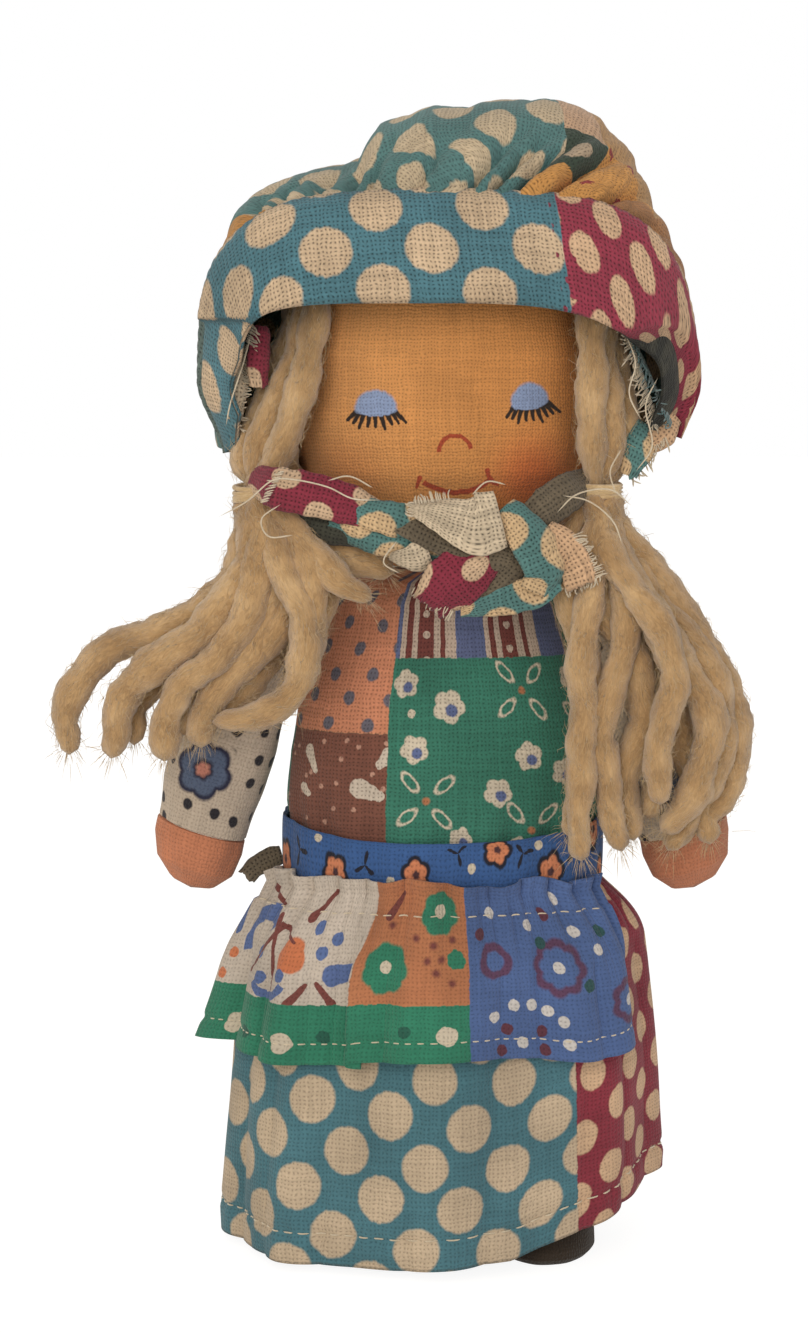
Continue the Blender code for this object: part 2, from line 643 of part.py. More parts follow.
def make_hair_cap(parent, finishes):
    """Yarn laid over the top, sides and back of the head, open at the face."""
    low = HEAD_BOTTOM + HEAD_HEIGHT * 0.10
    rows = [row for row in HEAD if row.z >= low]
    inner = [ring(row, HEAD_SIDES, HEAD_SQUARENESS, GAP) for row in rows]
    outer = [ring(row, HEAD_SIDES, HEAD_SQUARENESS, GAP + HAIR_THICKNESS) for row in rows]
    tip = Vector((0, 0, HEAD_TOP))
    cap = loft("hair_cap", list(reversed(outer)) + inner, finishes["yarn"], parent,
               tip + Vector((0, 0, GAP + HAIR_THICKNESS)), tip + Vector((0, 0, GAP)))
    deep = 0.04
    cut(cap, "face_opening", (0.08, deep, 0.12), (0.0, HAIRLINE_Y - deep / 2, (HEAD_BOTTOM + HEAD_TOP) / 2))


def hank_route(side, name):
    """The middle of the hank that lies against one side of the head, from under the brim to its tie."""
    route = []
    steps = 7
    for step in range(steps + 1):
        share = step / steps
        z = HANK_TOP_Z + (HAIR_TIE_Z + 2 * HAIR_TIE_THICKNESS - HANK_TOP_Z) * share
        angle = math.radians(-30 - 4 * math.sin(math.pi * share))
        place = head_side(z, angle, GAP + HANK_RADIUS)
        route.append(Vector((side * (place.x + HANK_SPREAD[name] * share ** 2), place.y, z)))
    below = route[-1] - Vector((0, 0, 2 * HAIR_TIE_THICKNESS))
    return route + [below, below - Vector((0, 0, 2 * HAIR_TIE_THICKNESS))]


def make_hair_side(side, name, parent, finishes):
    """One hank and the thread wound round its lower end."""
    route = hank_route(side, name)

    def radius_at(share):
        if share < 0.4:
            return HANK_RADIUS * (0.8 + 0.2 * math.sin(math.radians(90) * share / 0.4))
        fall = math.cos(math.radians(90) * min(1.0, (share - 0.4) / 0.36))
        return HANK_END_RADIUS + (HANK_RADIUS - HANK_END_RADIUS) * fall

    swept("hair_side_" + name, route, round_section(radius_at, 8), finishes["yarn"], parent)
    reach = HANK_END_RADIUS + 2 * GAP + HAIR_TIE_THICKNESS
    rows = []
    for index in range(12):
        angle = math.tau * index / 12
        outward = Vector((math.cos(angle), math.sin(angle), 0.0))
        row = []
        for corner in range(6):
            tilt = math.tau * corner / 6
            lift = Vector((0, 0, HAIR_TIE_THICKNESS * math.sin(tilt)))
            row.append(outward * (reach + HAIR_TIE_THICKNESS * math.cos(tilt)) + lift)
        rows.append(row)
    loft("hair_tie_" + name, rows, finishes["thread"], parent, closed=True, location=route[-2])


# Where the locks leave a tie, in spacings sideways out and back from its middle: the outer and inner
# ones behind, the others in front
LOCK_STARTS = ((1.05, 0.5), (0.55, -0.5), (0.0, 0.5), (-0.55, -0.5), (-1.05, 0.5))

# Points that each lock passes below its tie, from the outer lock to the inner one: sideways out from
# the midline, towards the back and down from the tie
LOCKS = {
    "r": (
        ((0.0335, -0.0112, 0.0100), (0.0440, -0.0108, 0.0185), (0.0530, -0.0098, 0.0280),
         (0.0545, -0.0095, 0.0385)),
        ((0.0302, -0.0168, 0.0100), (0.0385, -0.0155, 0.0195), (0.0452, -0.0142, 0.0290),
         (0.0447, -0.0132, 0.0392)),
        ((0.0268, -0.0115, 0.0100), (0.0318, -0.0118, 0.0195), (0.0362, -0.0116, 0.0295),
         (0.0366, -0.0116, 0.0400)),
        ((0.0232, -0.0170, 0.0100), (0.0262, -0.0168, 0.0200), (0.0288, -0.0165, 0.0280),
         (0.0296, -0.0160, 0.0350)),
        ((0.0200, -0.0118, 0.0100), (0.0196, -0.0140, 0.0195), (0.0204, -0.0148, 0.0250),
         (0.0208, -0.0148, 0.0320)),
    ),
    "l": (
        ((0.0300, -0.0125, 0.0100), (0.0385, -0.0120, 0.0195), (0.0428, -0.0112, 0.0310),
         (0.0412, -0.0105, 0.0420), (0.0365, -0.0102, 0.0488)),
        ((0.0275, -0.0172, 0.0100), (0.0332, -0.0168, 0.0200), (0.0368, -0.0158, 0.0300),
         (0.0362, -0.0150, 0.0390), (0.0325, -0.0148, 0.0460)),
        ((0.0242, -0.0125, 0.0100), (0.0275, -0.0125, 0.0200), (0.0305, -0.0120, 0.0300),
         (0.0306, -0.0118, 0.0400), (0.0292, -0.0118, 0.0480)),
        ((0.0215, -0.0175, 0.0100), (0.0244, -0.0178, 0.0200), (0.0258, -0.0172, 0.0310),
         (0.0256, -0.0168, 0.0410), (0.0250, -0.0165, 0.0510)),
        ((0.0188, -0.0128, 0.0100), (0.0196, -0.0142, 0.0210), (0.0204, -0.0145, 0.0320),
         (0.0205, -0.0140, 0.0420), (0.0200, -0.0140, 0.0525)),
    ),
}


def make_locks(side, name, parent, finishes):
    """Locks of yarn below a tie. They leave it side by side and fan out."""
    end = hank_route(side, name)[-1]
    spacing = 2 * LOCK_START_RADIUS + GAP

    def radius_at(share):
        fuller = min(1.0, max(0.0, (share - 0.12) / 0.34))
        thinner = max(0.0, (share - 0.8) / 0.2)
        swell = math.sin(math.radians(90) * fuller) ** 2 - 0.6 * thinner ** 2
        return LOCK_START_RADIUS + (LOCK_RADIUS - LOCK_START_RADIUS) * swell

    for index, (beside, behind) in enumerate(LOCK_STARTS):
        start = end + Vector((side * spacing * beside, spacing * behind, -GAP))
        places = [start - Vector((0, 0, LOCK_START_RADIUS))]
        places += [Vector((side * out, back, HAIR_TIE_Z - drop)) for out, back, drop in LOCKS[name][index]]
        swept("hair_lock_" + name + "_" + str(index + 1), [start] + smooth_route(places, 3),
              round_section(radius_at, 6), finishes["yarn"], parent)


# Bonnet

def arch(angle, half_width, rise, top_y, side_y):
    """A point of an arch round the face: angle 0 is its top, and it runs down to both sides."""
    across, up = math.sin(angle), math.cos(angle)
    power = 2.0 / BRIM_SQUARENESS
    x = half_width * math.copysign(abs(across) ** power, across)
    z = BRIM_SIDES_Z + rise * math.copysign(abs(up) ** power, up)
    if up < 0:
        z = BRIM_SIDES_Z + rise * up
    forward = max(up, 0.0) ** 0.7
    return Vector((x, side_y + (top_y - side_y) * forward, z))


def brim_frame(angle):
    """Front edge, back edge and outward direction of the brim at an angle round the arch."""
    front = arch(angle, BRIM_FRONT_HALF_WIDTH, BRIM_FRONT_RISE, BRIM_FRONT_Y, BRIM_FRONT_SIDE_Y)
    back = arch(angle, BRIM_BACK_HALF_WIDTH, BRIM_BACK_RISE, BRIM_BACK_Y, BRIM_BACK_SIDE_Y)
    small = math.radians(2)
    ahead = arch(angle + small, BRIM_FRONT_HALF_WIDTH, BRIM_FRONT_RISE, BRIM_FRONT_Y, BRIM_FRONT_SIDE_Y)
    behind = arch(angle - small, BRIM_FRONT_HALF_WIDTH, BRIM_FRONT_RISE, BRIM_FRONT_Y, BRIM_FRONT_SIDE_Y)
    outward = (ahead - behind).cross(back - front).normalized()
    middle = Vector((0, 0, BRIM_SIDES_Z))
    if outward.dot((front + back) / 2 - middle) < 0:
        outward = -outward
    return front, back, outward


def make_brim(parent, finishes):
    """The turned-back brim: a double cuff bent in an arch round the face."""
    steps = 26
    rings = []
    for step in range(steps + 1):
        angle = BRIM_END_ANGLE * (2 * step / steps - 1)
        front, back, outward = brim_frame(angle)
        along = back - front
        half = outward * BRIM_THICKNESS / 2
        soft = along.normalized() * BRIM_THICKNESS / 2
        belly = outward * BRIM_THICKNESS * 0.35
        rings.append([front, front + soft + half, front + along / 2 + half + belly, back - soft + half,
                      back, back - soft - half, front + along / 2 - half, front + soft - half])
    loft("bonnet_brim", rings, finishes["teal"], parent)


def crown_edge(angle):
    """The crown's outer face at its edge: behind the brim at the front, snug on the hair at the nape."""
    inset = BRIM_THICKNESS / 2 + GAP * 1.5
    if abs(angle) <= BRIM_END_ANGLE:
        front, back, outward = brim_frame(angle)
        return front + (back - front) * 0.86 - outward * inset
    corner = crown_edge(math.copysign(BRIM_END_ANGLE, angle))
    share = (abs(angle) - BRIM_END_ANGLE) / (math.pi - BRIM_END_ANGLE)
    turn = math.radians(90) * share
    nape_y = size_at(HEAD, NAPE_Z)[1] + 2 * GAP + HAIR_THICKNESS + CLOTH
    return Vector((corner.x * math.cos(turn) ** 0.62, corner.y + (nape_y - corner.y) * math.sin(turn) ** 0.8,
                   corner.z + (NAPE_Z - corner.z) * share))


def make_crown(parent, finishes):
    """The gathered crown: a soft bag that puffs out behind the brim and closes at the back."""
    sides = 48
    steps = 7
    centre = Vector((0, CROWN_CENTRE_Y, HEAD_BOTTOM + CROWN_CENTRE_RISE))
    pole = Vector((CROWN_POLE_X, CROWN_BACK_Y, HEAD_BOTTOM + CROWN_POLE_RISE)) - centre
    bm = bmesh.new()
    rows = []
    for step in range(steps):
        share = step / steps
        row = []
        for index in range(sides):
            angle = math.tau * index / sides - math.pi
            edge = crown_edge(angle) - centre
            arc = edge.angle(pole)
            direction = (edge.normalized() * math.sin((1 - share) * arc)
                         + pole.normalized() * math.sin(share * arc)) / math.sin(arc)
            upper = 0.5 + 0.5 * math.cos(angle)
            peak = math.exp(-((angle - CROWN_PEAK_ANGLE) / CROWN_PEAK_SPREAD) ** 2)
            swell = math.sin(math.pi * share ** 0.7) * (CROWN_PUFF * (0.1 + 0.9 * upper ** 2) + CROWN_PEAK * peak)
            gather = GATHER_DEPTH * upper * math.sin(math.pi * min(1.0, share * 1.7))
            gather *= math.cos(CROWN_GATHERS * angle)
            reach = edge.length + (pole.length - edge.length) * share + swell + gather
            row.append(bm.verts.new(centre + direction * reach))
        rows.append(row)
    for low, high in zip(rows, rows[1:]):
        for index in range(sides):
            following = (index + 1) % sides
            bm.faces.new((low[index], low[following], high[following], high[index]))
    tip = bm.verts.new(centre + pole)
    for index in range(sides):
        bm.faces.new((rows[-1][index], rows[-1][(index + 1) % sides], tip))
    bmesh.ops.recalc_face_normals(bm, faces=bm.faces)
    if sum(face.normal.dot(face.calc_center_median() - centre) for face in bm.faces) < 0:
        bmesh.ops.reverse_faces(bm, faces=bm.faces)
    data = bpy.data.meshes.new("bonnet_crown")
    bm.to_mesh(data)
    bm.free()
    data.shade_smooth()
    crown = add_object("bonnet_crown", data, finishes["crown"], parent)
    wall = crown.modifiers.new("cloth", "SOLIDIFY")
    wall.thickness = CLOTH
    wall.offset = -1.0
    wall.use_rim = True


def make_ties(parent, finishes):
    """Strips from the brim's corners to the knot under the chin, and the ends that leave it."""
    chin_y = -(size_at(HEAD, KNOT_Z + CHIN_RISE)[1] + GAP)
    knot_y = min(chin_y - CHIN_CLEARANCE, KNOT_BACK_Y) - KNOT_HALF_DEPTH
    knot = Vector((KNOT_X, knot_y, KNOT_Z))
    stations = rounded_end(-KNOT_HALF_HEIGHT, 0.0, KNOT_HALF_WIDTH, KNOT_HALF_DEPTH, 4)
    upper = rounded_end(KNOT_HALF_HEIGHT, 0.0, KNOT_HALF_WIDTH * 0.94, KNOT_HALF_DEPTH, 4)
    rows = [ring(row, 12) for row in stations + list(reversed(upper[:-1]))]
    made = loft("tie_knot", rows, finishes["olive"], parent, Vector((0, 0, -KNOT_HALF_HEIGHT)),
                Vector((0, 0, KNOT_HALF_HEIGHT)), location=knot)
    made.rotation_euler = (0.0, KNOT_TILT, 0.0)
    face_out = Vector((0, -1, 0))
    half = STRIP_THICKNESS / 2
    for side, name, finish, width in ((-1, "r", "crimson", STRIP_WIDTH), (1, "l", "olive", STRIP_WIDTH * 0.8)):
        front = brim_frame(side * BRIM_END_ANGLE)[0]
        start = front + Vector((-side * STRIP_CORNER_OUT, STRIP_CORNER_BACK, -STRIP_CORNER_DROP))
        end = knot + Vector((side * (KNOT_HALF_WIDTH + 2 * GAP), STRIP_END_BACK, STRIP_END_RISE))
        middle = (start + end) / 2 - Vector((0, STRIP_BULGE, STRIP_SAG))
        route = smooth_route([start, middle, end], 5)
        swept("tie_strip_" + name, route,
              strip_section(lambda share, w=width: w * (0.9 - 0.35 * share ** 3), STRIP_THICKNESS,
                            lambda share, s=side: face_out + Vector((s * 0.7 * (1 - share), 0, 0))),
              finishes[finish], parent)
    front_y = knot_y - KNOT_HALF_DEPTH - GAP - half
    base = Vector((KNOT_X, front_y, KNOT_Z))
    for name, (finish, width, offsets) in TIE_ENDS.items():
        route = smooth_route([base + Vector(offset) for offset in offsets], 3)
        swept("tie_end_" + name, route, strip_section(lambda share, w=width: w, STRIP_THICKNESS,
                                                      lambda share: face_out), finishes[finish], parent)


def clear_scene():
    """Start from an empty scene."""
    for existing in list(bpy.data.objects):
        bpy.data.objects.remove(existing, do_unlink=True)


def make_finishes():
    """The colours of the cloths and yarn."""
    return {
        "face": material("tan_muslin", (0.60, 0.31, 0.10)),
        "patchwork": material("patchwork_cotton", (0.11, 0.28, 0.21)),
        "blue_calico": material("blue_calico", (0.06, 0.12, 0.42)),
        "sleeve": material("dotted_white_cotton", (0.66, 0.60, 0.52)),
        "coral": material("coral_cotton", (0.60, 0.21, 0.11)),
        "stocking": material("cream_stocking", (0.62, 0.52, 0.38)),
        "boot": material("dark_brown_boot", (0.035, 0.022, 0.016), 0.8),
        "teal": material("teal_dotted_cotton", (0.055, 0.26, 0.33)),
        "crown": material("teal_dotted_crown", (0.05, 0.22, 0.25)),
        "crimson": material("crimson_dotted_cotton", (0.26, 0.03, 0.07)),
        "apron": material("apron_patchwork", (0.20, 0.22, 0.40)),
        "cream": material("pale_reverse_cotton", (0.60, 0.52, 0.38)),
        "olive": material("olive_reverse_cotton", (0.16, 0.15, 0.10)),
        "pink": material("pink_reverse_cotton", (0.60, 0.42, 0.34)),
        "yarn": material("straw_yarn", (0.50, 0.36, 0.18), 1.0),
        "thread": material("cream_thread", (0.60, 0.52, 0.40)),
        "stuffing": material("white_stuffing", (0.75, 0.73, 0.68), 1.0),
    }


def build_doll():
    """Every piece, each on the guide that carries it."""
    finishes = make_finishes()
    doll = empty("doll", (MIDLINE_X, MIDLINE_Y, 0.0))
    make_torso(doll, finishes)
    make_skirt(doll, finishes)
    make_apron(doll, finishes)
    make_neck(doll, finishes)

    neck = empty("neck_pivot", (0.0, 0.0, NECK_Z), doll)
    head = empty("head_frame", (0.0, 0.0, -NECK_Z), neck)
    make_head(head, finishes)
    make_hair_cap(head, finishes)
    for side, name in ((-1, "r"), (1, "l")):
        make_hair_side(side, name, head, finishes)
        make_locks(side, name, head, finishes)
    make_brim(head, finishes)
    make_crown(head, finishes)
    make_ties(head, finishes)

    for side, name in ((-1, "r"), (1, "l")):
        shoulder = empty("shoulder_pivot_" + name, (side * shoulder_x(), 0.0, SHOULDER_Z), doll,
                         -side * ARM_TILT)
        make_arm(side, name, shoulder, finishes)
        hip = empty("hip_pivot_" + name, (side * LEG_X, 0.0, HIP_Z), doll)
        make_leg(name, hip, finishes)


clear_scene()
build_doll()
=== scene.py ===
# %% [markdown]
# A rag doll sewn from printed cotton. It has a gathered sun bonnet, wool yarn hair, a patchwork body,
# a skirt with an apron, and dark boots. The solid model gives the size and the joints of every piece.
# Here each soft solid gets a finished piece in its place: cloth with its folds, prints and weave,
# stuffed limbs, and yarn laid strand by strand. Cloth is made flat and then put in its place, so that a
# print keeps its true size in millimetres on the cloth.

# %% Load the frame
import random
from math import copysign, cos, degrees, exp, pi, radians, sin, sqrt, tan, tau

import bpy
import numpy as np
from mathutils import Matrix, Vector, noise


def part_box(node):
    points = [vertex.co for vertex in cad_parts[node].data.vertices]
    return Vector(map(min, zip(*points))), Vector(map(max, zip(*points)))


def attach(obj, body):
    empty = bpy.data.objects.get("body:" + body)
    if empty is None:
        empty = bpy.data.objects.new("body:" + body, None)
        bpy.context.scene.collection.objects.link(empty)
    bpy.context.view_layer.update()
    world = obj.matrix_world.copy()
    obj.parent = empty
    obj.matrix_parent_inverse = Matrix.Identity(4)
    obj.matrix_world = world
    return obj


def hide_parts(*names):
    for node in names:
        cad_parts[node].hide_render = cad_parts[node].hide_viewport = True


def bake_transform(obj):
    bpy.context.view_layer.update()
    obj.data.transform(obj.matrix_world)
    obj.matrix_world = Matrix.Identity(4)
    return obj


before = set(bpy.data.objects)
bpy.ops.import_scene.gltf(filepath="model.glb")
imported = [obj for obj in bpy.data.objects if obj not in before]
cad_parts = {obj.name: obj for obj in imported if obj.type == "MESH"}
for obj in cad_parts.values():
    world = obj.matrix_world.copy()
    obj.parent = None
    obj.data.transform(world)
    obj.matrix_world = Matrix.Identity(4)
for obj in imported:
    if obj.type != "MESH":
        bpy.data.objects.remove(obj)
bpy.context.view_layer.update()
bpy.ops.object.select_all(action="DESELECT")

# %% [markdown]
# Every size below is in millimetres from the doll's midline, which is the middle of the body's own
# solid. The doll faces -Y; its own right is at -X.

# %% Millimetres from the midline
MM = 0.001
body_low, body_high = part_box("torso_cover")
MIDLINE = Vector(((body_low.x + body_high.x) / 2, (body_low.y + body_high.y) / 2, 0))


def spot(x, y, z):
    """A point given in millimetres from the doll's midline."""
    return MIDLINE + Vector((x, y, z)) * MM


# %% [markdown]
# The camera comes first. The photograph was taken level with the chin, from 40 cm, looking a little
# down. A 75 mm lens on a 36 mm frame gives its narrow view.

# %% Camera
add_to_scene = bpy.context.scene.collection.objects.link
CAMERA_DISTANCE_MM = 400
CAMERA_HEIGHT_MM = 130
CAMERA_PITCH_DEG = 6.49
camera_data = bpy.data.cameras.new("camera")
camera_data.lens = 75.0
camera_data.sensor_width = 36.0
camera = bpy.data.objects.new("camera", camera_data)
add_to_scene(camera)
camera.location = (0, MIDLINE.y - CAMERA_DISTANCE_MM * MM, CAMERA_HEIGHT_MM * MM)
camera.rotation_euler = (radians(90 - CAMERA_PITCH_DEG), 0, 0)
bpy.context.scene.camera = camera
bpy.context.scene.view_settings.view_transform = "Standard"

# %% [markdown]
# One small function turns sRGB hex colours into the linear values that shaders take. Another opens the
# nodes of a material or world, and one adds a node there with its properties and inputs and returns its
# output. All materials are written with these.


# %% Colour and node helpers
def linear(hex_colour):
    """Linear colour of an sRGB hex value."""
    channels = [int(hex_colour[i:i + 2], 16) / 255 for i in (1, 3, 5)]
    return (*[c / 12.92 if c <= 0.04045 else ((c + 0.055) / 1.055) ** 2.4 for c in channels], 1)


def open_nodes(owner):
    """Empty the nodes of a material or world, and let add() write there from now on."""
    global tree
    owner.use_nodes = True
    tree = owner.node_tree
    tree.nodes.clear()


def add(kind, *inputs, out=0, **settings):
    """Add a node, named as kind or kind.operation; set or link its inputs in order or by name."""
    kind, _, operation = kind.partition(".")
    made = tree.nodes.new("ShaderNode" + kind)
    if operation:
        made.operation = operation
    for name, value in settings.items():
        setattr(made, name, value)
    by_name = inputs and isinstance(inputs[0], dict)
    for key, value in inputs[0].items() if by_name else enumerate(inputs):
        if isinstance(value, bpy.types.NodeSocket):
            tree.links.new(value, made.inputs[key])
        elif value is not None:
            made.inputs[key].default_value = value
    return made.outputs[out] if made.outputs else None


# %% [markdown]
# The doll stands on a white floor in soft light from a large lamp at the upper left, a weaker one at
# the right, and the world. Camera rays see floor and world as white, while the floor keeps the shadow.

# %% Floor, world and lamps
FLOOR_SIZE = 6.0
WHITE = (1, 1, 1, 1)


def seen_as_white():
    """1 for rays that meet plain white: those of the camera, gloss and glass."""
    path = add("LightPath")
    seen = add("Math.MAXIMUM", path, path.node.outputs["Is Glossy Ray"])
    return add("Math.MAXIMUM", seen, path.node.outputs["Is Transmission Ray"])


bpy.ops.mesh.primitive_plane_add(size=FLOOR_SIZE)
floor = bpy.context.object
floor.name = "floor"
floor_paint = bpy.data.materials.new("white_paper")
open_nodes(floor_paint)
paper = add("BsdfDiffuse", {"Color": linear("#f2f0ec")})
bright = add("Emission", {"Color": WHITE, "Strength": 1.25})
add("OutputMaterial", add("MixShader", add("Math.MULTIPLY", seen_as_white(), 0.72), paper, bright))
floor.data.materials.append(floor_paint)

world = bpy.data.worlds.new("soft_room")
bpy.context.scene.world = world
open_nodes(world)
room = add("Background", {"Color": linear("#fbf6ee"), "Strength": 0.60})
white = add("Background", {"Color": WHITE, "Strength": 1.0})
add("OutputWorld", add("MixShader", seen_as_white(), room, white))


def lamp(name, power, size, place, colour):
    """A square soft lamp that looks at the middle of the doll."""
    data = bpy.data.lights.new(name, "AREA")
    data.energy = power
    data.size = size
    data.color = linear(colour)[:3]
    made = bpy.data.objects.new(name, data)
    add_to_scene(made)
    made.location = place
    aim = Vector((0, 0, 0.09)) - Vector(place)
    made.rotation_euler = aim.to_track_quat("-Z", "Y").to_euler()


lamp("key_lamp", 5.4, 0.80, (-0.36, -1.00, 0.42), "#fff6ea")
lamp("fill_lamp", 2, 0.80, (0.60, -0.90, 0.12), "#f8f5ff")
lamp("back_lamp", 2.2, 0.80, (0.15, 0.95, 0.50), "#ffffff")

# %% [markdown]
# Printed cotton. Quilting cotton of this age is a coarse plain weave, about 17 threads to the
# centimetre, so threads lie 0.6 mm apart, wide enough to see. The weave darkens the pinholes between
# threads and lifts each crossing. Ink prints thread by thread, so the edge of a print is a little
# ragged, and single threads are lighter or darker than the next.

# %% Weave and ragged print edges
FLAT = "flat_mm"
THREAD_MM = 0.6
THREAD_BUMP = 0.09


def weave(flat, pitch):
    """Brightness and height of a plain weave with threads this far apart, which wander a little."""
    drift = add("TexNoise", {"Vector": flat, "Scale": 0.55, "Detail": 2.0}, out=1, noise_dimensions="2D")
    bent = add("VectorMath.MULTIPLY_ADD", drift, (0.75, 0.75, 0), flat)
    phase = add("VectorMath.MULTIPLY", bent, (pi / pitch,) * 3)
    waves = add("VectorMath.SINE", phase)
    signed = add("SeparateXYZ", waves)
    ridges = add("SeparateXYZ", add("VectorMath.ABSOLUTE", waves))
    warp, weft = ridges, ridges.node.outputs[1]
    crossing = add("Math.MULTIPLY", warp, weft)
    over = add("Math.MULTIPLY", signed, signed.node.outputs[1])
    height = add("Math.MULTIPLY_ADD", over, 0.30, crossing)
    hole = add("Math.MAXIMUM", warp, weft)
    hole = add("MapRange", hole, 0.15, 0.86, 1, 0)
    along = add("VectorMath.MULTIPLY", bent, (1 / pitch, 0.07, 1))
    level = add("VectorMath.MULTIPLY", bent, (0.07, 1 / pitch, 1))
    warp_tone = add("TexNoise", {"Vector": along, "Scale": 1, "Detail": 1.0}, noise_dimensions="2D")
    weft_tone = add("TexNoise", {"Vector": level, "Scale": 1, "Detail": 1.0}, noise_dimensions="2D")
    tone = add("Math.ADD", warp_tone, weft_tone)
    tone = add("MapRange", tone, 0.7, 1.3, 0.86, 1.12)
    shade = add("Math.MULTIPLY_ADD", hole, -0.80, tone)
    return shade, height


def ragged(flat, pitch=THREAD_MM, soft=0.15, threads=0.16):
    """The flat place moved a little, smoothly and thread by thread, for the edges of a print."""
    cloud = add("TexNoise", {"Vector": flat, "Scale": 0.30, "Detail": 1.0}, out=1, noise_dimensions="2D")
    cloud = add("VectorMath.SUBTRACT", cloud, (0.5, 0.5, 0.5))
    moved = add("VectorMath.MULTIPLY_ADD", cloud, (2 * soft, 2 * soft, 0), flat)
    count = add("VectorMath.MULTIPLY", flat, (1 / pitch,) * 3)
    count = add("SeparateXYZ", add("VectorMath.FLOOR", count))
    warp = add("TexWhiteNoise", {"W": count}, noise_dimensions="1D")
    weft = add("TexWhiteNoise", {"W": count.node.outputs[1]}, noise_dimensions="1D")
    step = add("CombineXYZ", weft, warp, 0)
    step = add("VectorMath.SUBTRACT", step, (0.5, 0.5, 0))
    return add("VectorMath.MULTIPLY_ADD", step, (threads * 0.6, threads, 0), moved)


def lay(under, over, distance, limit=1, soft=0.06):
    """Print one colour over another wherever a distance is under the limit."""
    ink = add("MapRange", distance, limit + soft, limit - soft, 0, 1)
    over = linear(over) if isinstance(over, str) else over
    under = linear(under) if isinstance(under, str) else under
    return add("Mix", {0: ink, 6: under, 7: over}, out=2, data_type="RGBA")


# %% [markdown]
# Three kinds of print cover the whole doll: dots in a staggered lattice, motifs strewn one to a cell,
# and patches bounded by straight lines. Each gives a distance that is under 1 inside the motif, so that
# one function can ink it, outline it or fill its middle.


# %% Print patterns
def dots(flat, across, down, radius, tall=1, tilt=0, start=(0, 0)):
    """Distance from staggered dots: across and down are the spacings within a row and of every other row."""
    turned = add("Mapping", {"Vector": flat, "Location": (-start[0], -start[1], 0)})
    if tilt:
        turned = add("Mapping", {"Vector": turned, "Rotation": (0, 0, radians(tilt))})
    lattice = {"Rotation": (0, 0, radians(45)),
               "Scale": (sqrt(2) / across, sqrt(2) / down, 1)}
    cells = add("Mapping", {"Vector": turned, **lattice}, vector_type="POINT")
    cells = add("VectorMath.ADD", cells, (0.5, 0.5, 0))
    which = add("VectorMath.FLOOR", cells)
    inside = add("VectorMath.SUBTRACT", cells, which)
    inside = add("VectorMath.SUBTRACT", inside, (0.5, 0.5, 0))
    local = add("Mapping", {"Vector": inside, **lattice}, vector_type="TEXTURE")
    chance = add("TexWhiteNoise", {"Vector": which}, out=1, noise_dimensions="2D")
    chance = add("VectorMath.SUBTRACT", chance, (0.5, 0.5, 0.5))
    local = add("VectorMath.MULTIPLY_ADD", chance, (0.6, 0.6, 0), local)
    local = add("VectorMath.MULTIPLY", local, (1 / radius, 1 / (radius * tall), 1))
    return add("VectorMath.LENGTH", local, out=1)


def petalled(local, petals, radius, depth, turn=0, sharp=1):
    """Distance from a flower with round petals and notches between them; sharp ones are narrow strokes."""
    side = add("SeparateXYZ", local)
    angle = add("Math.ARCTAN2", side.node.outputs[1], side)
    angle = add("Math.MULTIPLY_ADD", angle, petals / 2, turn)
    wave = add("Math.ABSOLUTE", add("Math.COSINE", angle))
    if sharp != 1.0:
        wave = add("Math.POWER", wave, sharp)
    size = add("Math.MULTIPLY_ADD", wave, 2 * radius * depth, radius * (1 - depth))
    reach = add("VectorMath.LENGTH", local, out=1)
    return add("Math.DIVIDE", reach, size)


def strewn(flat, pitch, radius, jitter=0.6, petals=0, depth=0.2, seed=0, sharp=1):
    """Distance from motifs strewn one to a cell, round or with petals, and a random colour for each."""
    moved = add("VectorMath.ADD", flat, (seed * 17.3, seed * 9.1, 0))
    cell = add("TexVoronoi", {"Vector": moved, "Scale": 1 / pitch, "Randomness": jitter}, out=2,
               voronoi_dimensions="2D")
    chance = cell.node.outputs["Color"]
    local = add("VectorMath.SUBTRACT", moved, cell)
    if petals:
        turn = add("Math.MULTIPLY", add("SeparateXYZ", chance), tau)
        return petalled(local, petals, radius, depth, turn, sharp), chance
    reach = add("VectorMath.LENGTH", local, out=1)
    return add("Math.MULTIPLY", reach, 1 / radius), chance


def patch(flat, low, high):
    """Distance that is under 1 inside a rectangle."""
    middle = [(a + b) / 2 for a, b in zip(low, high)]
    half = [(b - a) / 2 for a, b in zip(low, high)]
    local = add("VectorMath.SUBTRACT", flat, (*middle, 0))
    local = add("VectorMath.ABSOLUTE", local)
    # The distance is counted in millimetres past the edge, so that every edge is equally sharp
    local = add("VectorMath.SUBTRACT", local, (half[0] - 1, half[1] - 1, 0))
    sides = add("SeparateXYZ", local)
    return add("Math.MAXIMUM", sides, sides.node.outputs[1])


def panels(flat, colour, *patches):
    """Print patches over a colour, each given by its paint and its two corners."""
    for over, low, high in patches:
        colour = lay(colour, over, patch(flat, low, high))
    return colour


def nearest(flat, places):
    """Distance in millimetres from the nearest of several places."""
    least = None
    for place in places:
        off = add("VectorMath.DISTANCE", flat, (*place, 0), out=1)
        least = add("Math.MINIMUM", least, off) if least else off
    return least


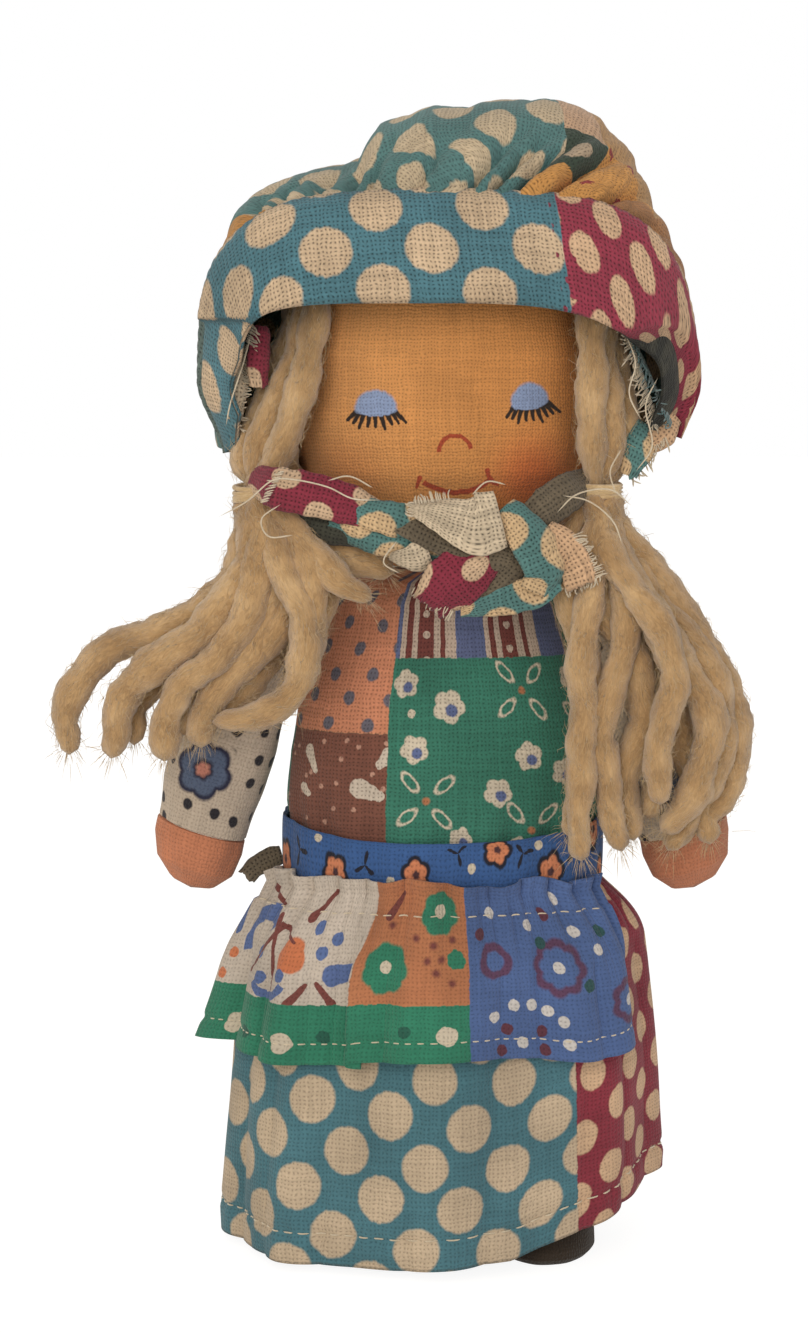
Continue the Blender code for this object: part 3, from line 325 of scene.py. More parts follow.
def spray(flat, middle, reach, length, width, turn=0):
    """Distance from four leaves set crosswise round a middle."""
    local = add("VectorMath.SUBTRACT", flat, (*middle, 0))
    local = add("Mapping", {"Vector": local, "Rotation": (0, 0, radians(turn))})
    local = add("VectorMath.ABSOLUTE", local)
    local = add("Mapping", {"Vector": local, "Rotation": (0, 0, radians(-45))})
    local = add("VectorMath.SUBTRACT", local, (reach, 0, 0))
    local = add("VectorMath.MULTIPLY", local, (1 / length, 1 / width, 1))
    return add("VectorMath.LENGTH", local, out=1)


def bloom(flat, middle, radius, petals=5, depth=0.12, turn=0):
    """Distance from one flower at a chosen place."""
    local = add("VectorMath.SUBTRACT", flat, (*middle, 0))
    return petalled(local, petals, radius, depth, turn)


def arc(flat, middle, radius, start, end, width):
    """Distance from a drawn arc, with angles in degrees from -X clockwise over the top."""
    local = add("VectorMath.SUBTRACT", flat, (*middle, 0))
    side = add("SeparateXYZ", local)
    flipped = add("Math.MULTIPLY", side, -1)
    angle = add("Math.ARCTAN2", side.node.outputs[1], flipped)
    reach = add("VectorMath.LENGTH", local, out=1)
    off = add("Math.SUBTRACT", reach, radius)
    off = add("Math.ABSOLUTE", off)
    off = add("Math.MULTIPLY", off, 2 / width)
    centre = radians((start + end) / 2)
    spread = radians((end - start) / 2)
    turn = add("Math.SUBTRACT", angle, centre)
    turn = add("Math.ABSOLUTE", turn)
    past = add("Math.SUBTRACT", turn, spread)
    past = add("Math.MULTIPLY_ADD", past, radius * 2 / width, 1)
    return add("Math.MAXIMUM", off, past)


def stroke(flat, start, end, width):
    """Distance from a straight drawn stroke with round ends."""
    a, b = Vector((*start, 0)), Vector((*end, 0))
    along = b - a
    local = add("VectorMath.SUBTRACT", flat, tuple(a))
    share = add("VectorMath.DOT_PRODUCT", local, tuple(along / along.length_squared), out=1)
    share = add("Math.MAXIMUM", share, 0)
    share = add("Math.MINIMUM", share, 1)
    nearest = add("VectorMath.SCALE", {0: tuple(along), 3: share})
    off = add("VectorMath.DISTANCE", local, nearest, out=1)
    narrow = add("Math.MULTIPLY_ADD", share, -0.45, 1)
    off = add("Math.MULTIPLY", off, 2 / width)
    return add("Math.DIVIDE", off, narrow)


def strokes(flat, colour, ink, *lines, soft=0.06):
    """Draw strokes over a colour, each given by its two ends and its width."""
    for start, end, width in lines:
        colour = lay(colour, ink, stroke(flat, start, end, width), soft=soft)
    return colour


# %% [markdown]
# A cotton is its print, darkened by the weave, faded and soiled a little in broad clouds, on a rough
# shader with a slight sheen from the fibres. The bump is the thickness of a thread.

# %% Cotton

def cotton(name, paint, pitch=THREAD_MM, open_weave=1, place=None):
    """A cotton with the print that paint(flat) draws; place gives another coordinate to print by."""
    made = bpy.data.materials.new(name)
    open_nodes(made)
    flat = add("UVMap", uv_map=FLAT)
    drawn = ragged(place() if place else flat, pitch)
    colour = paint(drawn)
    colour = linear(colour) if isinstance(colour, str) else colour
    shade, height = weave(flat, pitch)
    shade = add("Mix", {0: open_weave, 2: 1, 3: shade}, data_type="FLOAT")
    cloud = add("TexNoise", {"Vector": flat, "Scale": 0.07, "Detail": 4.0}, noise_dimensions="2D")
    shade = add("Math.MULTIPLY", shade, add("MapRange", cloud, 0.3, 0.7, 0.84, 1.08))
    worn = add("Mix", {0: 1, 6: colour, 7: shade}, out=2, data_type="RGBA", blend_type="MULTIPLY")
    bump = add("Bump", {"Strength": 0.9, "Distance": THREAD_BUMP * MM, "Height": height})
    add("OutputMaterial", add("BsdfPrincipled", {
        "Base Color": worn, "Normal": bump, "Roughness": 0.92, "Specular IOR Level": 0.25,
        "Sheen Weight": 0.12, "Sheen Roughness": 0.6}))
    return made


# %% [markdown]
# The dotted cottons: teal with large cream dots for skirt and bonnet, and crimson with smaller oval
# ones. The skirt is one cloth printed in patches, with the crimson beginning a little past the knee.

# %% Dotted cottons
SKIRT_SEAM_MM = 20.0


def teal_dots(flat, ground, cream, **lattice):
    """Teal with large cream dots."""
    return lay(ground, cream, dots(flat, **lattice))


def crimson_dots(flat, ground="#8c3040"):
    """Crimson with small oval cream dots."""
    return lay(ground, "#cbab8c", dots(flat, 9.4, 9.6, 2, tall=1.3, tilt=8))


def paint_skirt(flat):
    """Teal dots in front and at the doll's right, crimson dots from the seam round to the back."""
    teal = teal_dots(flat, "#487480", "#c0ad94", across=12, down=11.8, radius=3.3, tilt=7,
                     start=(-1.2, 29))
    crimson = crimson_dots(flat, "#84303e")
    return lay(teal, crimson, patch(flat, (SKIRT_SEAM_MM, -20), (86, 80)))


BRIM_SEAM_MM = 16.2


def paint_brim(flat):
    """Teal dots with crimson at the doll's left; below the fold is the wrong side, grey teal, painted near
    black as shade at the doll's left.
    """
    teal = teal_dots(flat, "#4c7885", "#c8b093", across=14.5, down=11.6, radius=3.6, tall=0.95,
                     start=(-1.7, 7.6))
    spots = dots(flat, 9.1, 9.1, 2.05, tall=1.27, tilt=-9, start=(19.4, 8.7))
    crimson = lay("#93364a", "#cfae8e", spots)
    place = add("SeparateXYZ", flat)
    specks = strewn(flat, 1.9, 0.42, 1, seed=4)[0]
    specked = lay(teal, "#8a3a4c", specks)
    crimson = panels(flat, crimson, ("#93364a", (BRIM_SEAM_MM - 1, 2), (17.8, 7.6)))
    colour = panels(flat, teal, (specked, (BRIM_SEAM_MM - 1.2, -30), (30, 60)),
                    (crimson, (BRIM_SEAM_MM, -30), (90, 60)))
    # Painted shade: the wrong side inside the brim goes from grey teal at the doll's right to near black at
    # the doll's left, where it lies in shadow; the patches are lighter spots in that painted shade.
    left = add("MapRange", place, 8, -8, 0, 1)
    shade_patches = strewn(flat, 4.6, 1.5, 1, 3, 0.5, 6)[0]
    dark = lay("#1d1f19", "#3a3a30", shade_patches, soft=0.4)
    wrong = add("Mix", {0: left, 6: dark, 7: linear("#5c6d69")}, out=2, data_type="RGBA")
    return lay(colour, wrong, patch(flat, (-90, -60), (90, -0.4)))


def paint_crown(flat):
    """Faded teal dots, with tan, dark green, mustard and brown panels towards the doll's left."""
    place = add("SeparateXYZ", flat)
    bearing = add("Math.ARCTAN2", place, place.node.outputs[1])
    bearing = add("Math.MULTIPLY", bearing, degrees(1))
    reach = add("VectorMath.LENGTH", flat, out=1)
    polar = add("CombineXYZ", bearing, reach, 0)
    teal = teal_dots(flat, "#537b7b", "#c3b195", across=14.5, down=11, radius=3.3, start=(-2.1, 60.4))
    mustard = lay("#c79152", "#8e3c3c", strewn(flat, 6, 0.8, 0.9, 5, 0.3, 2)[0])
    green = lay("#39473c", "#b8a48c", strewn(flat, 7.5, 1.9, 0.5, 0, 0.2, 5)[0])
    return panels(polar, teal, (mustard, (-66, 44), (-50, 90)), ("#c3a184", (17.2, 46), (24.5, 54.2)),
                  ("#b58f63", (24.5, 40), (42, 54)), (green, (17.2, 54.2), (25, 90)),
                  (mustard, (20.6, 61.6), (26.4, 90)), (mustard, (25, 53.4), (41, 90)),
                  ("#a9794f", (41, 44), (58, 90)), (crimson_dots(flat), (58, 30), (76, 90)))


SKIRT_COTTON = cotton("dotted_skirt_cotton", paint_skirt, open_weave=0.55)
BRIM_COTTON = cotton("dotted_brim_cotton", paint_brim)
CROWN_COTTON = cotton("dotted_crown_cotton", paint_crown, open_weave=0.8)

# %% [markdown]
# The body's cotton is printed as patchwork: orange with slate dots, a woven-looking stripe, green and
# brown with strewn flowers, and blue calico at the waist. The flowers are plain ones of that kind.


# %% Patchwork cottons
BODY_SEAM_MM = -8.2


def orange_dots(flat):
    """Faded orange with slate dots."""
    return lay("#c48364", "#625f6a", dots(flat, 6.8, 6.9, 0.98, start=(-11.3, 84.6)), soft=0.12)


def stripes(flat):
    """Lengthwise stripes of blue, white and maroon with a chain of white links."""
    period = 14.9
    place = add("SeparateXYZ", flat)
    share = add("Math.ADD", place, 12.7)
    share = add("Math.MULTIPLY", share, 1 / period)
    share = add("Math.FRACT", share)
    banded = add("ValToRGB", share)
    ramp = banded.node.color_ramp
    blue, white, maroon = "#5a6488", "#b7a596", "#6e3b36"
    bands = ((0, blue), (0.35, white), (0.41, maroon), (0.48, white), (0.545, maroon), (0.73, white),
             (0.81, maroon), (0.87, white))
    while len(ramp.elements) < len(bands):
        ramp.elements.new(0.5)
    for element, (start, colour) in zip(ramp.elements, bands):
        element.position = start
        element.color = linear(colour)
    ramp.interpolation = "CONSTANT"
    links = dots(flat, 2 * period, 3.3, 0.62, tall=0.85, start=(-3.2, 80))
    return lay(banded, white, links)


WHITE_INK = "#c6bba8"
SLATE_INK = "#59668f"


def eyed(flat, colour, middle, radius, turn, petals=5):
    """A white flower with a slate spot a little off its middle."""
    colour = lay(colour, WHITE_INK, bloom(flat, middle, radius, petals, 0.12, turn))
    return lay(colour, SLATE_INK, nearest(flat, [(middle[0] + 0.35, middle[1] - 0.5)]), radius * 0.42, 0.12)


def flowered_green(flat):
    """Green with white flowers that have blue middles, and crosses of four open leaves."""
    colour = lay("#357361", WHITE_INK, nearest(flat, [(-4.9, 79.2)]), 0.6)
    for middle, radius, turn in (((0.8, 80.2), 2.2, 0.3), ((-4.3, 74.2), 1.9, 1.1), ((12.6, 73), 1.9, 2),
                                 ((7.8, 68), 1.9, 0.7), ((18, 70.6), 1.8, 0.2), ((-5.9, 83.4), 1.8, 1.9),
                                 ((21.4, 83.6), 1.7, 0.9), ((2.4, 61.4), 1.5, 0.1)):
        colour = eyed(flat, colour, middle, radius, turn)
    for middle in ((12.4, 82.3), (-2.5, 66.9), (22.6, 76.4), (12.6, 62.4)):
        ring = spray(flat, middle, 3.5, 1.6, 0.72, 4)
        ring = add("Math.SUBTRACT", ring, 1)
        ring = add("Math.ABSOLUTE", ring)
        colour = lay(colour, WHITE_INK, ring, 0.18, 0.12)
        colour = lay(colour, "#a8704e", nearest(flat, [middle]), 0.55, 0.15)
    return colour


def flowered_brown(flat):
    """Brown with a few large white petals and small pink dots."""
    specks = strewn(flat, 3.6, 0.36, 0.9, 0, 0, 7)[0]
    colour = lay("#744a3d", "#b38a78", specks, soft=0.2)
    colour = strokes(flat, colour, "#c4b7a8", ((-20.7, 73.5), (-19.2, 70.8), 1.7),
                     ((-12, 68.5), (-9.2, 67.5), 2.9),
                     ((-8, 73.2), (-9.2, 72), 2.4), ((-21.4, 68), (-20.4, 67.2), 1.6))
    far = strewn(flat, 7.6, 1.3, 0.8, 2, 0.42, 3)[0]
    strange = lay(colour, "#bdb0a0", far, soft=0.12)
    return lay(strange, colour, patch(flat, (-26, 40), (0, 90)))


def blue_calico(flat):
    """Blue with dark-edged orange flowers, black sprigs and white dots."""
    ground, black = "#36598f", "#1b1d2b"
    sprig = strewn(flat, 6.4, 0.85, 0.5, 3, 0.92, 4, 7)[0]
    flower = strewn(flat, 8.6, 1.8, 0.45, 5, 0.12, 11)[0]
    far = lay(ground, black, sprig, soft=0.2)
    near = lay(ground, WHITE_INK, nearest(flat, ((4, 56.9), (13.7, 58.9), (-7.6, 55.4), (-18.6, 59.4))), 0.6)
    for turn, middle in enumerate(((-22, 57.4), (-11.2, 57), (2, 58.7), (11.3, 58.2), (19.6, 57.6))):
        near = lay(near, black, petalled(
            add("VectorMath.SUBTRACT", flat, (*middle, 0)), 3, 0.85, 0.92, turn, 7))
    for edge, ink in ((1, black), (0.74, "#c47c59"), (0.24, "#4a2f33")):
        far = lay(far, ink, flower, edge)
        for turn, middle in enumerate(((7.6, 58.9), (-15.8, 56), (-3.9, 56.2), (15.6, 56), (23.6, 59.2))):
            near = lay(near, ink, bloom(flat, middle, 2, 5, 0.12, turn), edge)
    return lay(far, near, patch(flat, (-25, 40), (25, 64)))


def paint_body(flat):
    """The patches of the body, laid out round it: the front as in the photo, the back in the same way."""
    green = flowered_green(flat)
    orange, brown, striped = (kind(flat) for kind in (orange_dots, flowered_brown, stripes))
    strewn_green = lay("#357361", WHITE_INK, strewn(flat, 7.4, 1.7, 0.5, 5, 0.12, 1)[0])
    dotted_blue = lay("#4d6596", WHITE_INK, strewn(flat, 4.6, 0.75, 0.6, 0, 0, 14)[0])
    return panels(
        flat, strewn_green, (green, (BODY_SEAM_MM, 58), (26, 90)), (orange, (-30, 76.3), (BODY_SEAM_MM, 120)),
        (brown, (-26, 40), (BODY_SEAM_MM, 76.3)), (striped, (BODY_SEAM_MM, 86.9), (23, 120)),
        (dotted_blue, (26, 74), (44, 120)), (orange, (44, 40), (80, 70)),
        (brown, (-80, 72), (-42, 120)))


def paint_apron(flat):
    """White floral, orange with green rosettes, dotted blue, and a green strip along the bottom left."""
    blue_ink, brown_ink, leaf_ink = "#566a99", "#75413c", "#2f7a60"
    white = strokes(flat, "#c0b5a9", blue_ink, ((-20.6, 12.2), (-15.4, 13.4), 3),
                    ((-46, 20.5), (-44.6, 16), 2.2))
    white = lay(white, blue_ink, arc(flat, (-36.8, 14.6), 4.8, -15, 140, 2.3))
    white = lay(white, blue_ink, arc(flat, (-31.3, 12.6), 4, -150, -40, 1.1))
    white = lay(white, "#c4744e", bloom(flat, (-27.6, 14.6), 2.3, 3, 0.12, 0.9))
    white = lay(white, "#c4744e", nearest(flat, ((-45.2, 9.6), (-44, 12.6), (-46.4, 7))), 0.8)
    white = lay(white, blue_ink, nearest(flat, ((-33.2, 10.9), (-28.6, 11.9), (-23.9, 18.5), (-22.5, 15.2),
                                                            (-20.4, 17.1), (-34.4, 14.2))), 0.95)
    white = strokes(flat, white, brown_ink, ((-32.8, 19.4), (-30.4, 9.6), 0.9),
                    ((-31.6, 18.2), (-36.2, 11.2), 0.9),
                    ((-31.8, 18.4), (-27.6, 16.4), 0.7), ((-26.4, 19.8), (-23.8, 22.8), 1.5),
                    ((-26.8, 8.2), (-24.5, 10.8), 1.3), ((-20.4, 8), (-22.8, 11), 1.3),
                    ((-39.4, 22.6), (-34.8, 20.2), 0.8))
    stars = ((-0.6, 16.5), (2.4, 17.3), (-1.4, 14.5), (-0.2, 12.8), (2.1, 11.4), (-7.6, 19.2), (-3.2, 17.6),
             (0.6, 14.6))
    orange = lay("#b07350", brown_ink, nearest(flat, stars), 0.5, 0.25)
    orange = strokes(flat, orange, brown_ink, ((-8.4, 20.4), (-6.4, 23.2), 1.3))
    for middle, radius, turn in (((-7.9, 13.2), 3.5, 0.2), ((0.4, 20.8), 2.9, 1), ((2.8, 14.6), 1.3, 0)):
        orange = lay(orange, leaf_ink, bloom(flat, middle, radius, 7, 0.06, turn))
    orange = lay(orange, WHITE_INK, nearest(flat, ((-7.9, 13.4), (0.4, 21))), 0.95)
    blue = "#4d6596"
    for middle, radius, petals, inner in (((8.7, 14.2), 2.5, 3, 0.55), ((18.7, 13.1), 3.9, 8, 0.7),
                                          ((29.6, 7), 3.2, 7, 0.66)):
        ring = bloom(flat, middle, radius, petals, 0.08, 0.5)
        blue = lay(lay(blue, "#5a3d58", ring), "#4d6596", ring, inner)
    blue = lay(blue, "#5c3340", nearest(flat, ((9.3, 1.2), (16, 1.3), (15.6, 3.9), (10.3, 4.3),
                                                           (18.3, 20.3), (6.6, 18))), 0.85)
    blue = lay(blue, "#2c4f50", nearest(flat, ((16.4, 16.5), (23, 10.3), (27.6, 17.4))), 0.9)
    blue = lay(blue, "#c9c5c2", nearest(flat, (
        (8.9, 20.9), (14.7, 19), (21.8, 22.2), (22.6, 17.8), (18.7, 13.1), (8.2, 6.2), (11.3, 7.8), (14, 7.7),
        (16.6, 6.9), (18.7, 5.6), (12.5, 2.3), (19.3, 2.4), (25.6, 15.2), (29.6, 7))), 0.85)
    green = lay("#2f7a60", "#24594a", nearest(flat, ((-34.5, 2.9), (-21.6, 3.8), (-4.4, 4.5))), 0.9)
    green = lay(green, WHITE_INK, nearest(flat, ((-41, 2.6), (-27.1, 3), (-16.6, 2.8), (1.4, 3.8))), 1.45)
    return panels(flat, white, (orange, (-13, -10), (60, 60)), (green, (-60, -10), (60, 8.2)),
                  (blue, (4.6, -10), (60, 60)))


def paint_sleeve(flat):
    """White with black dots and one large slate flower."""
    spots = strewn(flat, 4.3, 0.85, 0.55, 0, 0, 3)[0]
    colour = lay("#bdae9d", "#262329", spots, soft=0.15)
    flower = bloom(flat, (-1.8, 56.8), 4.1, 6, 0.10, 0.5)
    colour = lay(colour, "#bdae9d", flower, 1.22)
    colour = lay(colour, "#27293f", flower, 1)
    colour = lay(colour, "#536079", flower, 0.82)
    colour = lay(colour, "#2a2a3c", flower, 0.36)
    return lay(colour, "#b77a6a", flower, 0.24)


BODY_COTTON = cotton("patchwork_cotton", paint_body, open_weave=0.7)
CALICO = cotton("blue_calico_cotton", blue_calico, open_weave=0.5)
APRON_COTTON = cotton("apron_patchwork_cotton", paint_apron, open_weave=0.45)
SLEEVE_COTTON = cotton("spotted_sleeve_cotton", paint_sleeve, open_weave=0.4)
HAND_COTTON = cotton("coral_hand_cotton", lambda flat: "#bd7a5a", open_weave=0.4)
STOCKING_COTTON = cotton("cream_stocking_cotton", lambda flat: "#c2ae92")
BOOT_COTTON = cotton("dark_brown_felted_cotton", lambda flat: "#33291f", pitch=0.5, open_weave=0.3)

# %% [markdown]
# The face is screen-printed on tan muslin: closed blue lids over short lashes, a curved nose and a
# smile that turns up at its ends. The right cheek is flushed. It is drawn by place on the head, in
# millimetres across from the midline and up from the floor.

# %% Painted face
INK = "#2b211c"
LIP = "#a5482f"
LIDS = ((-9.5, 122, 2.9, 2.6, 0), (11.8, 122.9, 2.6, 2.7, 8))


def on_head():
    """Millimetres from the midline and above the floor."""
    place = add("TexCoord", out=3)
    place = add("VectorMath.SUBTRACT", place, tuple(MIDLINE))
    place = add("SeparateXYZ", place)
    flat = add("CombineXYZ", place, place.node.outputs[2], 0)
    return add("VectorMath.MULTIPLY", flat, (1 / MM, 1 / MM, 0))


def paint_face(flat):
    """Muslin with painted shade towards the doll's left, a flushed cheek and the printed features."""
    place = add("SeparateXYZ", flat)
    # Painted shade: the muslin darkens and warms from the doll's right to the doll's left, the side away from
    # the key lamp.
    painted_side_shade = add("MapRange", place, -22, 22, 0, 1)
    colour = add("Mix", {0: painted_side_shade, 6: linear("#cf965d"), 7: linear("#cb8746")}, out=2, data_type="RGBA")
    cheek = add("VectorMath.DISTANCE", flat, (12.5, 112, 0), out=1)
    flush = add("MapRange", cheek, 9.5, 1, 0, 0.75, interpolation_type="SMOOTHSTEP")
    colour = add("Mix", {0: flush, 6: colour, 7: linear("#b4552d")}, out=2, data_type="RGBA")
    other = add("VectorMath.DISTANCE", flat, (-14, 112, 0), out=1)
    flush = add("MapRange", other, 8, 1, 0, 0.30, interpolation_type="SMOOTHSTEP")
    colour = add("Mix", {0: flush, 6: colour, 7: linear("#b4653a")}, out=2, data_type="RGBA")
    for x, z, wide, high, tilt in LIDS:
        lean = radians(tilt)
        for index in range(9):
            turn = radians(-64 + 16 * index)
            root = (x + wide * 1.06 * sin(turn + lean), z - 0.95 * cos(turn) + wide * sin(turn) * tan(lean))
            reach = 1.55 + 0.45 * ((index * 5) % 3 == 1)
            tip = (root[0] + reach * sin(turn * 0.72 + lean), root[1] - reach * cos(turn * 0.72 + lean))
            colour = lay(colour, INK, stroke(flat, root, tip, 0.74), soft=0.25)
        local = add("VectorMath.SUBTRACT", flat, (x, z, 0))
        local = add("Mapping", {"Vector": local, "Rotation": (0, 0, -lean)})
        side = add("SeparateXYZ", local)
        up = add("Math.MULTIPLY", side.node.outputs[1], 1 / high)
        down = add("Math.MULTIPLY", side.node.outputs[1], -1 / 1.05)
        tall = add("Math.MAXIMUM", up, down)
        across = add("Math.MULTIPLY", side, 1 / wide)
        lid = add("VectorMath.LENGTH", add("CombineXYZ", across, tall, 0), out=1)
        colour = lay(colour, "#8a9cc0", lid, soft=0.08)
    colour = lay(colour, LIP, arc(flat, (1.45, 116.1), 2.25, -4, 168, 0.62), soft=0.2)
    colour = lay(colour, LIP, arc(flat, (1.5, 117.6), 7.2, -136, -52, 0.75), soft=0.2)
    return strokes(flat, colour, LIP, ((-3.4, 112.6), (-3.9, 111.2), 0.7), ((5.9, 113.6), (6.3, 112), 0.7),
                   ((6.2, 112.1), (7.4, 111.5), 0.7), soft=0.2)


FACE_COTTON = cotton("painted_tan_muslin", paint_face, pitch=0.5, open_weave=0.55, place=on_head)

# %% [markdown]
# Rag ends show the unprinted side of their cloth: pale, olive grey, dark green and pink. The dark green
# is painted darker as shade, for the shadow under the ties. The hair is soft roving yarn in one
# ply, so it has fine fibres along it rather than a twist.


# %% Plain cloths, thread and yarn
def plain(colour):
    """A paint function for one colour of cloth, with a few darker slubs."""
    def paint(flat):
        slub = add("VectorMath.MULTIPLY", flat, (0.15, 1.4, 1))
        slub = add("TexNoise", {"Vector": slub, "Scale": 1, "Detail": 2.0}, noise_dimensions="2D")
        return lay(colour, [c * 0.8 for c in linear(colour)[:3]] + [1], slub, 0.42, 0.08)
    return paint


PALE_COTTON = cotton("pale_open_weave_cotton", plain("#d3c2a8"), pitch=0.62)
OLIVE_COTTON = cotton("olive_grey_wrong_side", plain("#6c6150"))
# Painted shade: this dark green is darker than the wrong side of the cloth, for the shadow under the ties
# where its strip lies.
DARK_WRONG_SIDE_SHADE_COTTON = cotton("dark_green_wrong_side_painted_shade", plain("#3f4036"))
PINK_COTTON = cotton("pink_wrong_side", plain("#d6b08c"))
TEAL_TIE = cotton("dotted_teal_tie", lambda flat: teal_dots(
    flat, "#56807e", "#d2b48c", across=11, down=11, radius=2.7, tall=1.2, start=(2.4, 3)))
CRIMSON_TIE = cotton("dotted_crimson_tie", lambda flat: lay(
    "#852e40", "#cdb092", dots(flat, 11.5, 9, 2.1, tall=0.8, start=(4.5, 3))))


def fibre(name, tones, relief=0.12):
    """Wool or cotton fibre: fine streaks along the strand, which runs along the map's first axis."""
    made = bpy.data.materials.new(name)
    open_nodes(made)
    flat = add("UVMap", uv_map=FLAT)
    stretched = add("VectorMath.MULTIPLY", flat, (0.34, 1, 1))
    fine = add("TexNoise", {"Vector": stretched, "Scale": 2.2, "Detail": 5, "Roughness": 0.7,
                            "Distortion": 1.4}, noise_dimensions="2D")
    clouds = add("TexNoise", {"Vector": flat, "Scale": 0.16, "Detail": 3.0}, noise_dimensions="2D")
    both = add("MapRange", add("Math.ADD", fine, clouds), 0.66, 1.34, 0, 1)
    toned = add("ValToRGB", both)
    ramp = toned.node.color_ramp.elements
    ramp[0].color = linear(tones[0])
    ramp[1].color = linear(tones[2])
    ramp.new(0.5).color = linear(tones[1])
    bump = add("Bump", {"Strength": 1, "Distance": relief * MM, "Height": fine})
    add("OutputMaterial", add("BsdfPrincipled", {
        "Base Color": toned, "Normal": bump, "Roughness": 1,
        "Specular IOR Level": 0.15, "Sheen Weight": 0.6, "Sheen Roughness": 0.5}))
    return made


YARN = fibre("straw_roving_yarn", ("#8f6f4a", "#b69367", "#d0af82"), relief=0.2)
FUZZ = fibre("straw_yarn_fuzz", ("#ab8d64", "#c8ad83", "#e0c9a2"))
THREAD = fibre("cream_cotton_thread", ("#b5a68d", "#cfc2aa", "#ddd2bd"), relief=0.03)
SCRAP = fibre("teal_frayed_thread", ("#3e5c60", "#5d8083", "#8aa3a2"), relief=0.03)

# %% [markdown]
# Soft pieces start as a grid, as cloth does. Each point of the grid is moved to its place, and the
# grid's map is written in flat millimetres. A helper closes tubes, and another reads the outline of a
# solid at any height, so that a stuffed piece fills exactly the space that its solid holds.


# %% Cloth grids and stuffed forms
def select_only(piece):
    """Make one piece the selected and active one."""
    bpy.ops.object.select_all(action="DESELECT")
    piece.select_set(True)
    bpy.context.view_layer.objects.active = piece


def modify(piece, kind, **settings):
    """Add a modifier with its settings and apply it."""
    select_only(piece)
    modifier = piece.modifiers.new(kind.lower(), kind)
    for name, value in settings.items():
        setattr(modifier, name, value)
    bpy.ops.object.modifier_apply(modifier=modifier.name)


def cloth(name, across, down, place, flat, finish, thickness=0, closed=False, offset=-1):
    """A grid put in place: place(s, t) gives its points and flat(s, t) its map, t running down."""
    bpy.ops.object.select_all(action="DESELECT")
    bpy.ops.mesh.primitive_grid_add(x_subdivisions=across, y_subdivisions=down, size=1)
    made = bpy.context.object
    made.name = name
    made.data.name = name
    mesh = made.data
    shares = [(v.co.x + 0.5, 0.5 - v.co.y) for v in mesh.vertices]
    mesh.vertices.foreach_set("co", np.array([place(s, t) for s, t in shares], float).ravel())
    corners = np.zeros(len(mesh.loops), int)
    mesh.loops.foreach_get("vertex_index", corners)
    mapped = np.array([flat(s, t) for s, t in shares], float)[corners]
    mesh.uv_layers[0].name = FLAT
    mesh.uv_layers[0].uv.foreach_set("vector", mapped.ravel())
    mesh.update()
    if closed:
        select_only(made)
        bpy.ops.object.mode_set(mode="EDIT")
        bpy.ops.mesh.select_all(action="SELECT")
        bpy.ops.mesh.remove_doubles(threshold=2e-6)
        bpy.ops.object.mode_set(mode="OBJECT")
    if thickness:
        modify(made, "SOLIDIFY", thickness=thickness * MM, offset=offset, use_rim=True)
    mesh.materials.append(finish)
    select_only(made)
    bpy.ops.object.shade_smooth()
    return made


def distances(points):
    """Distance along a row of points, from 0 at the first."""
    return np.cumsum([0.0] + [(b - a).length for a, b in zip(points, points[1:])])


def uneven(place):
    """Soft noise at a place, from about -1 to 1."""
    return noise.noise(Vector(place))


def tilted(x, z, tilt):
    """Turn a place in the front view by an angle; the negative angle turns it back."""
    return x * cos(tilt) - z * sin(tilt), x * sin(tilt) + z * cos(tilt)


def outline(node, tilt=0):
    """A function that gives the middle and half size of a solid at a height, all in millimetres."""
    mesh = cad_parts[node].data
    points = (np.array([v.co for v in mesh.vertices]) - np.array(MIDLINE)) / MM
    points = np.array([(*tilted(x, z, tilt), y) for x, y, z in points])[:, [0, 2, 1]]
    ends = np.array([e.vertices[:] for e in mesh.edges])
    start, end = points[ends[:, 0]], points[ends[:, 1]]

    def at(z):
        crossing = (start[:, 2] - z) * (end[:, 2] - z) <= 0
        a, b = start[crossing], end[crossing]
        rise = b[:, 2] - a[:, 2]
        share = np.where(abs(rise) > 1e-6, (z - a[:, 2]) / np.where(abs(rise) > 1e-6, rise, 1), 0.5)
        cut = (a + (b - a) * share[:, None])[:, :2]
        return (cut.min(0) + cut.max(0)) / 2, (cut.max(0) - cut.min(0)) / 2
    return at, points[:, 2].min(), points[:, 2].max()


def box_point(angle, half_width, half_depth, squareness):
    """A point of a rounded box outline; an exponent of 2 is a plain ellipse."""
    across, along = cos(angle), sin(angle)
    power = 2.0 / squareness
    return (half_width * copysign(abs(across) ** power, across),
            half_depth * copysign(abs(along) ** power, along))


def around(s):
    """Angle round a piece for a share of the way from the middle of its back, by the doll's right."""
    return pi / 2 + tau * s


def girth_map(half_width, half_depth, squareness):
    """A function that gives the flat distance from the front middle for a share of the way round."""
    steps = 240
    points = [Vector(box_point(around(i / steps), half_width, half_depth,
                               squareness)) for i in range(steps + 1)]
    lengths = distances(points)
    return lambda s: float(np.interp(s * steps, range(steps + 1), lengths)) - lengths[-1] / 2


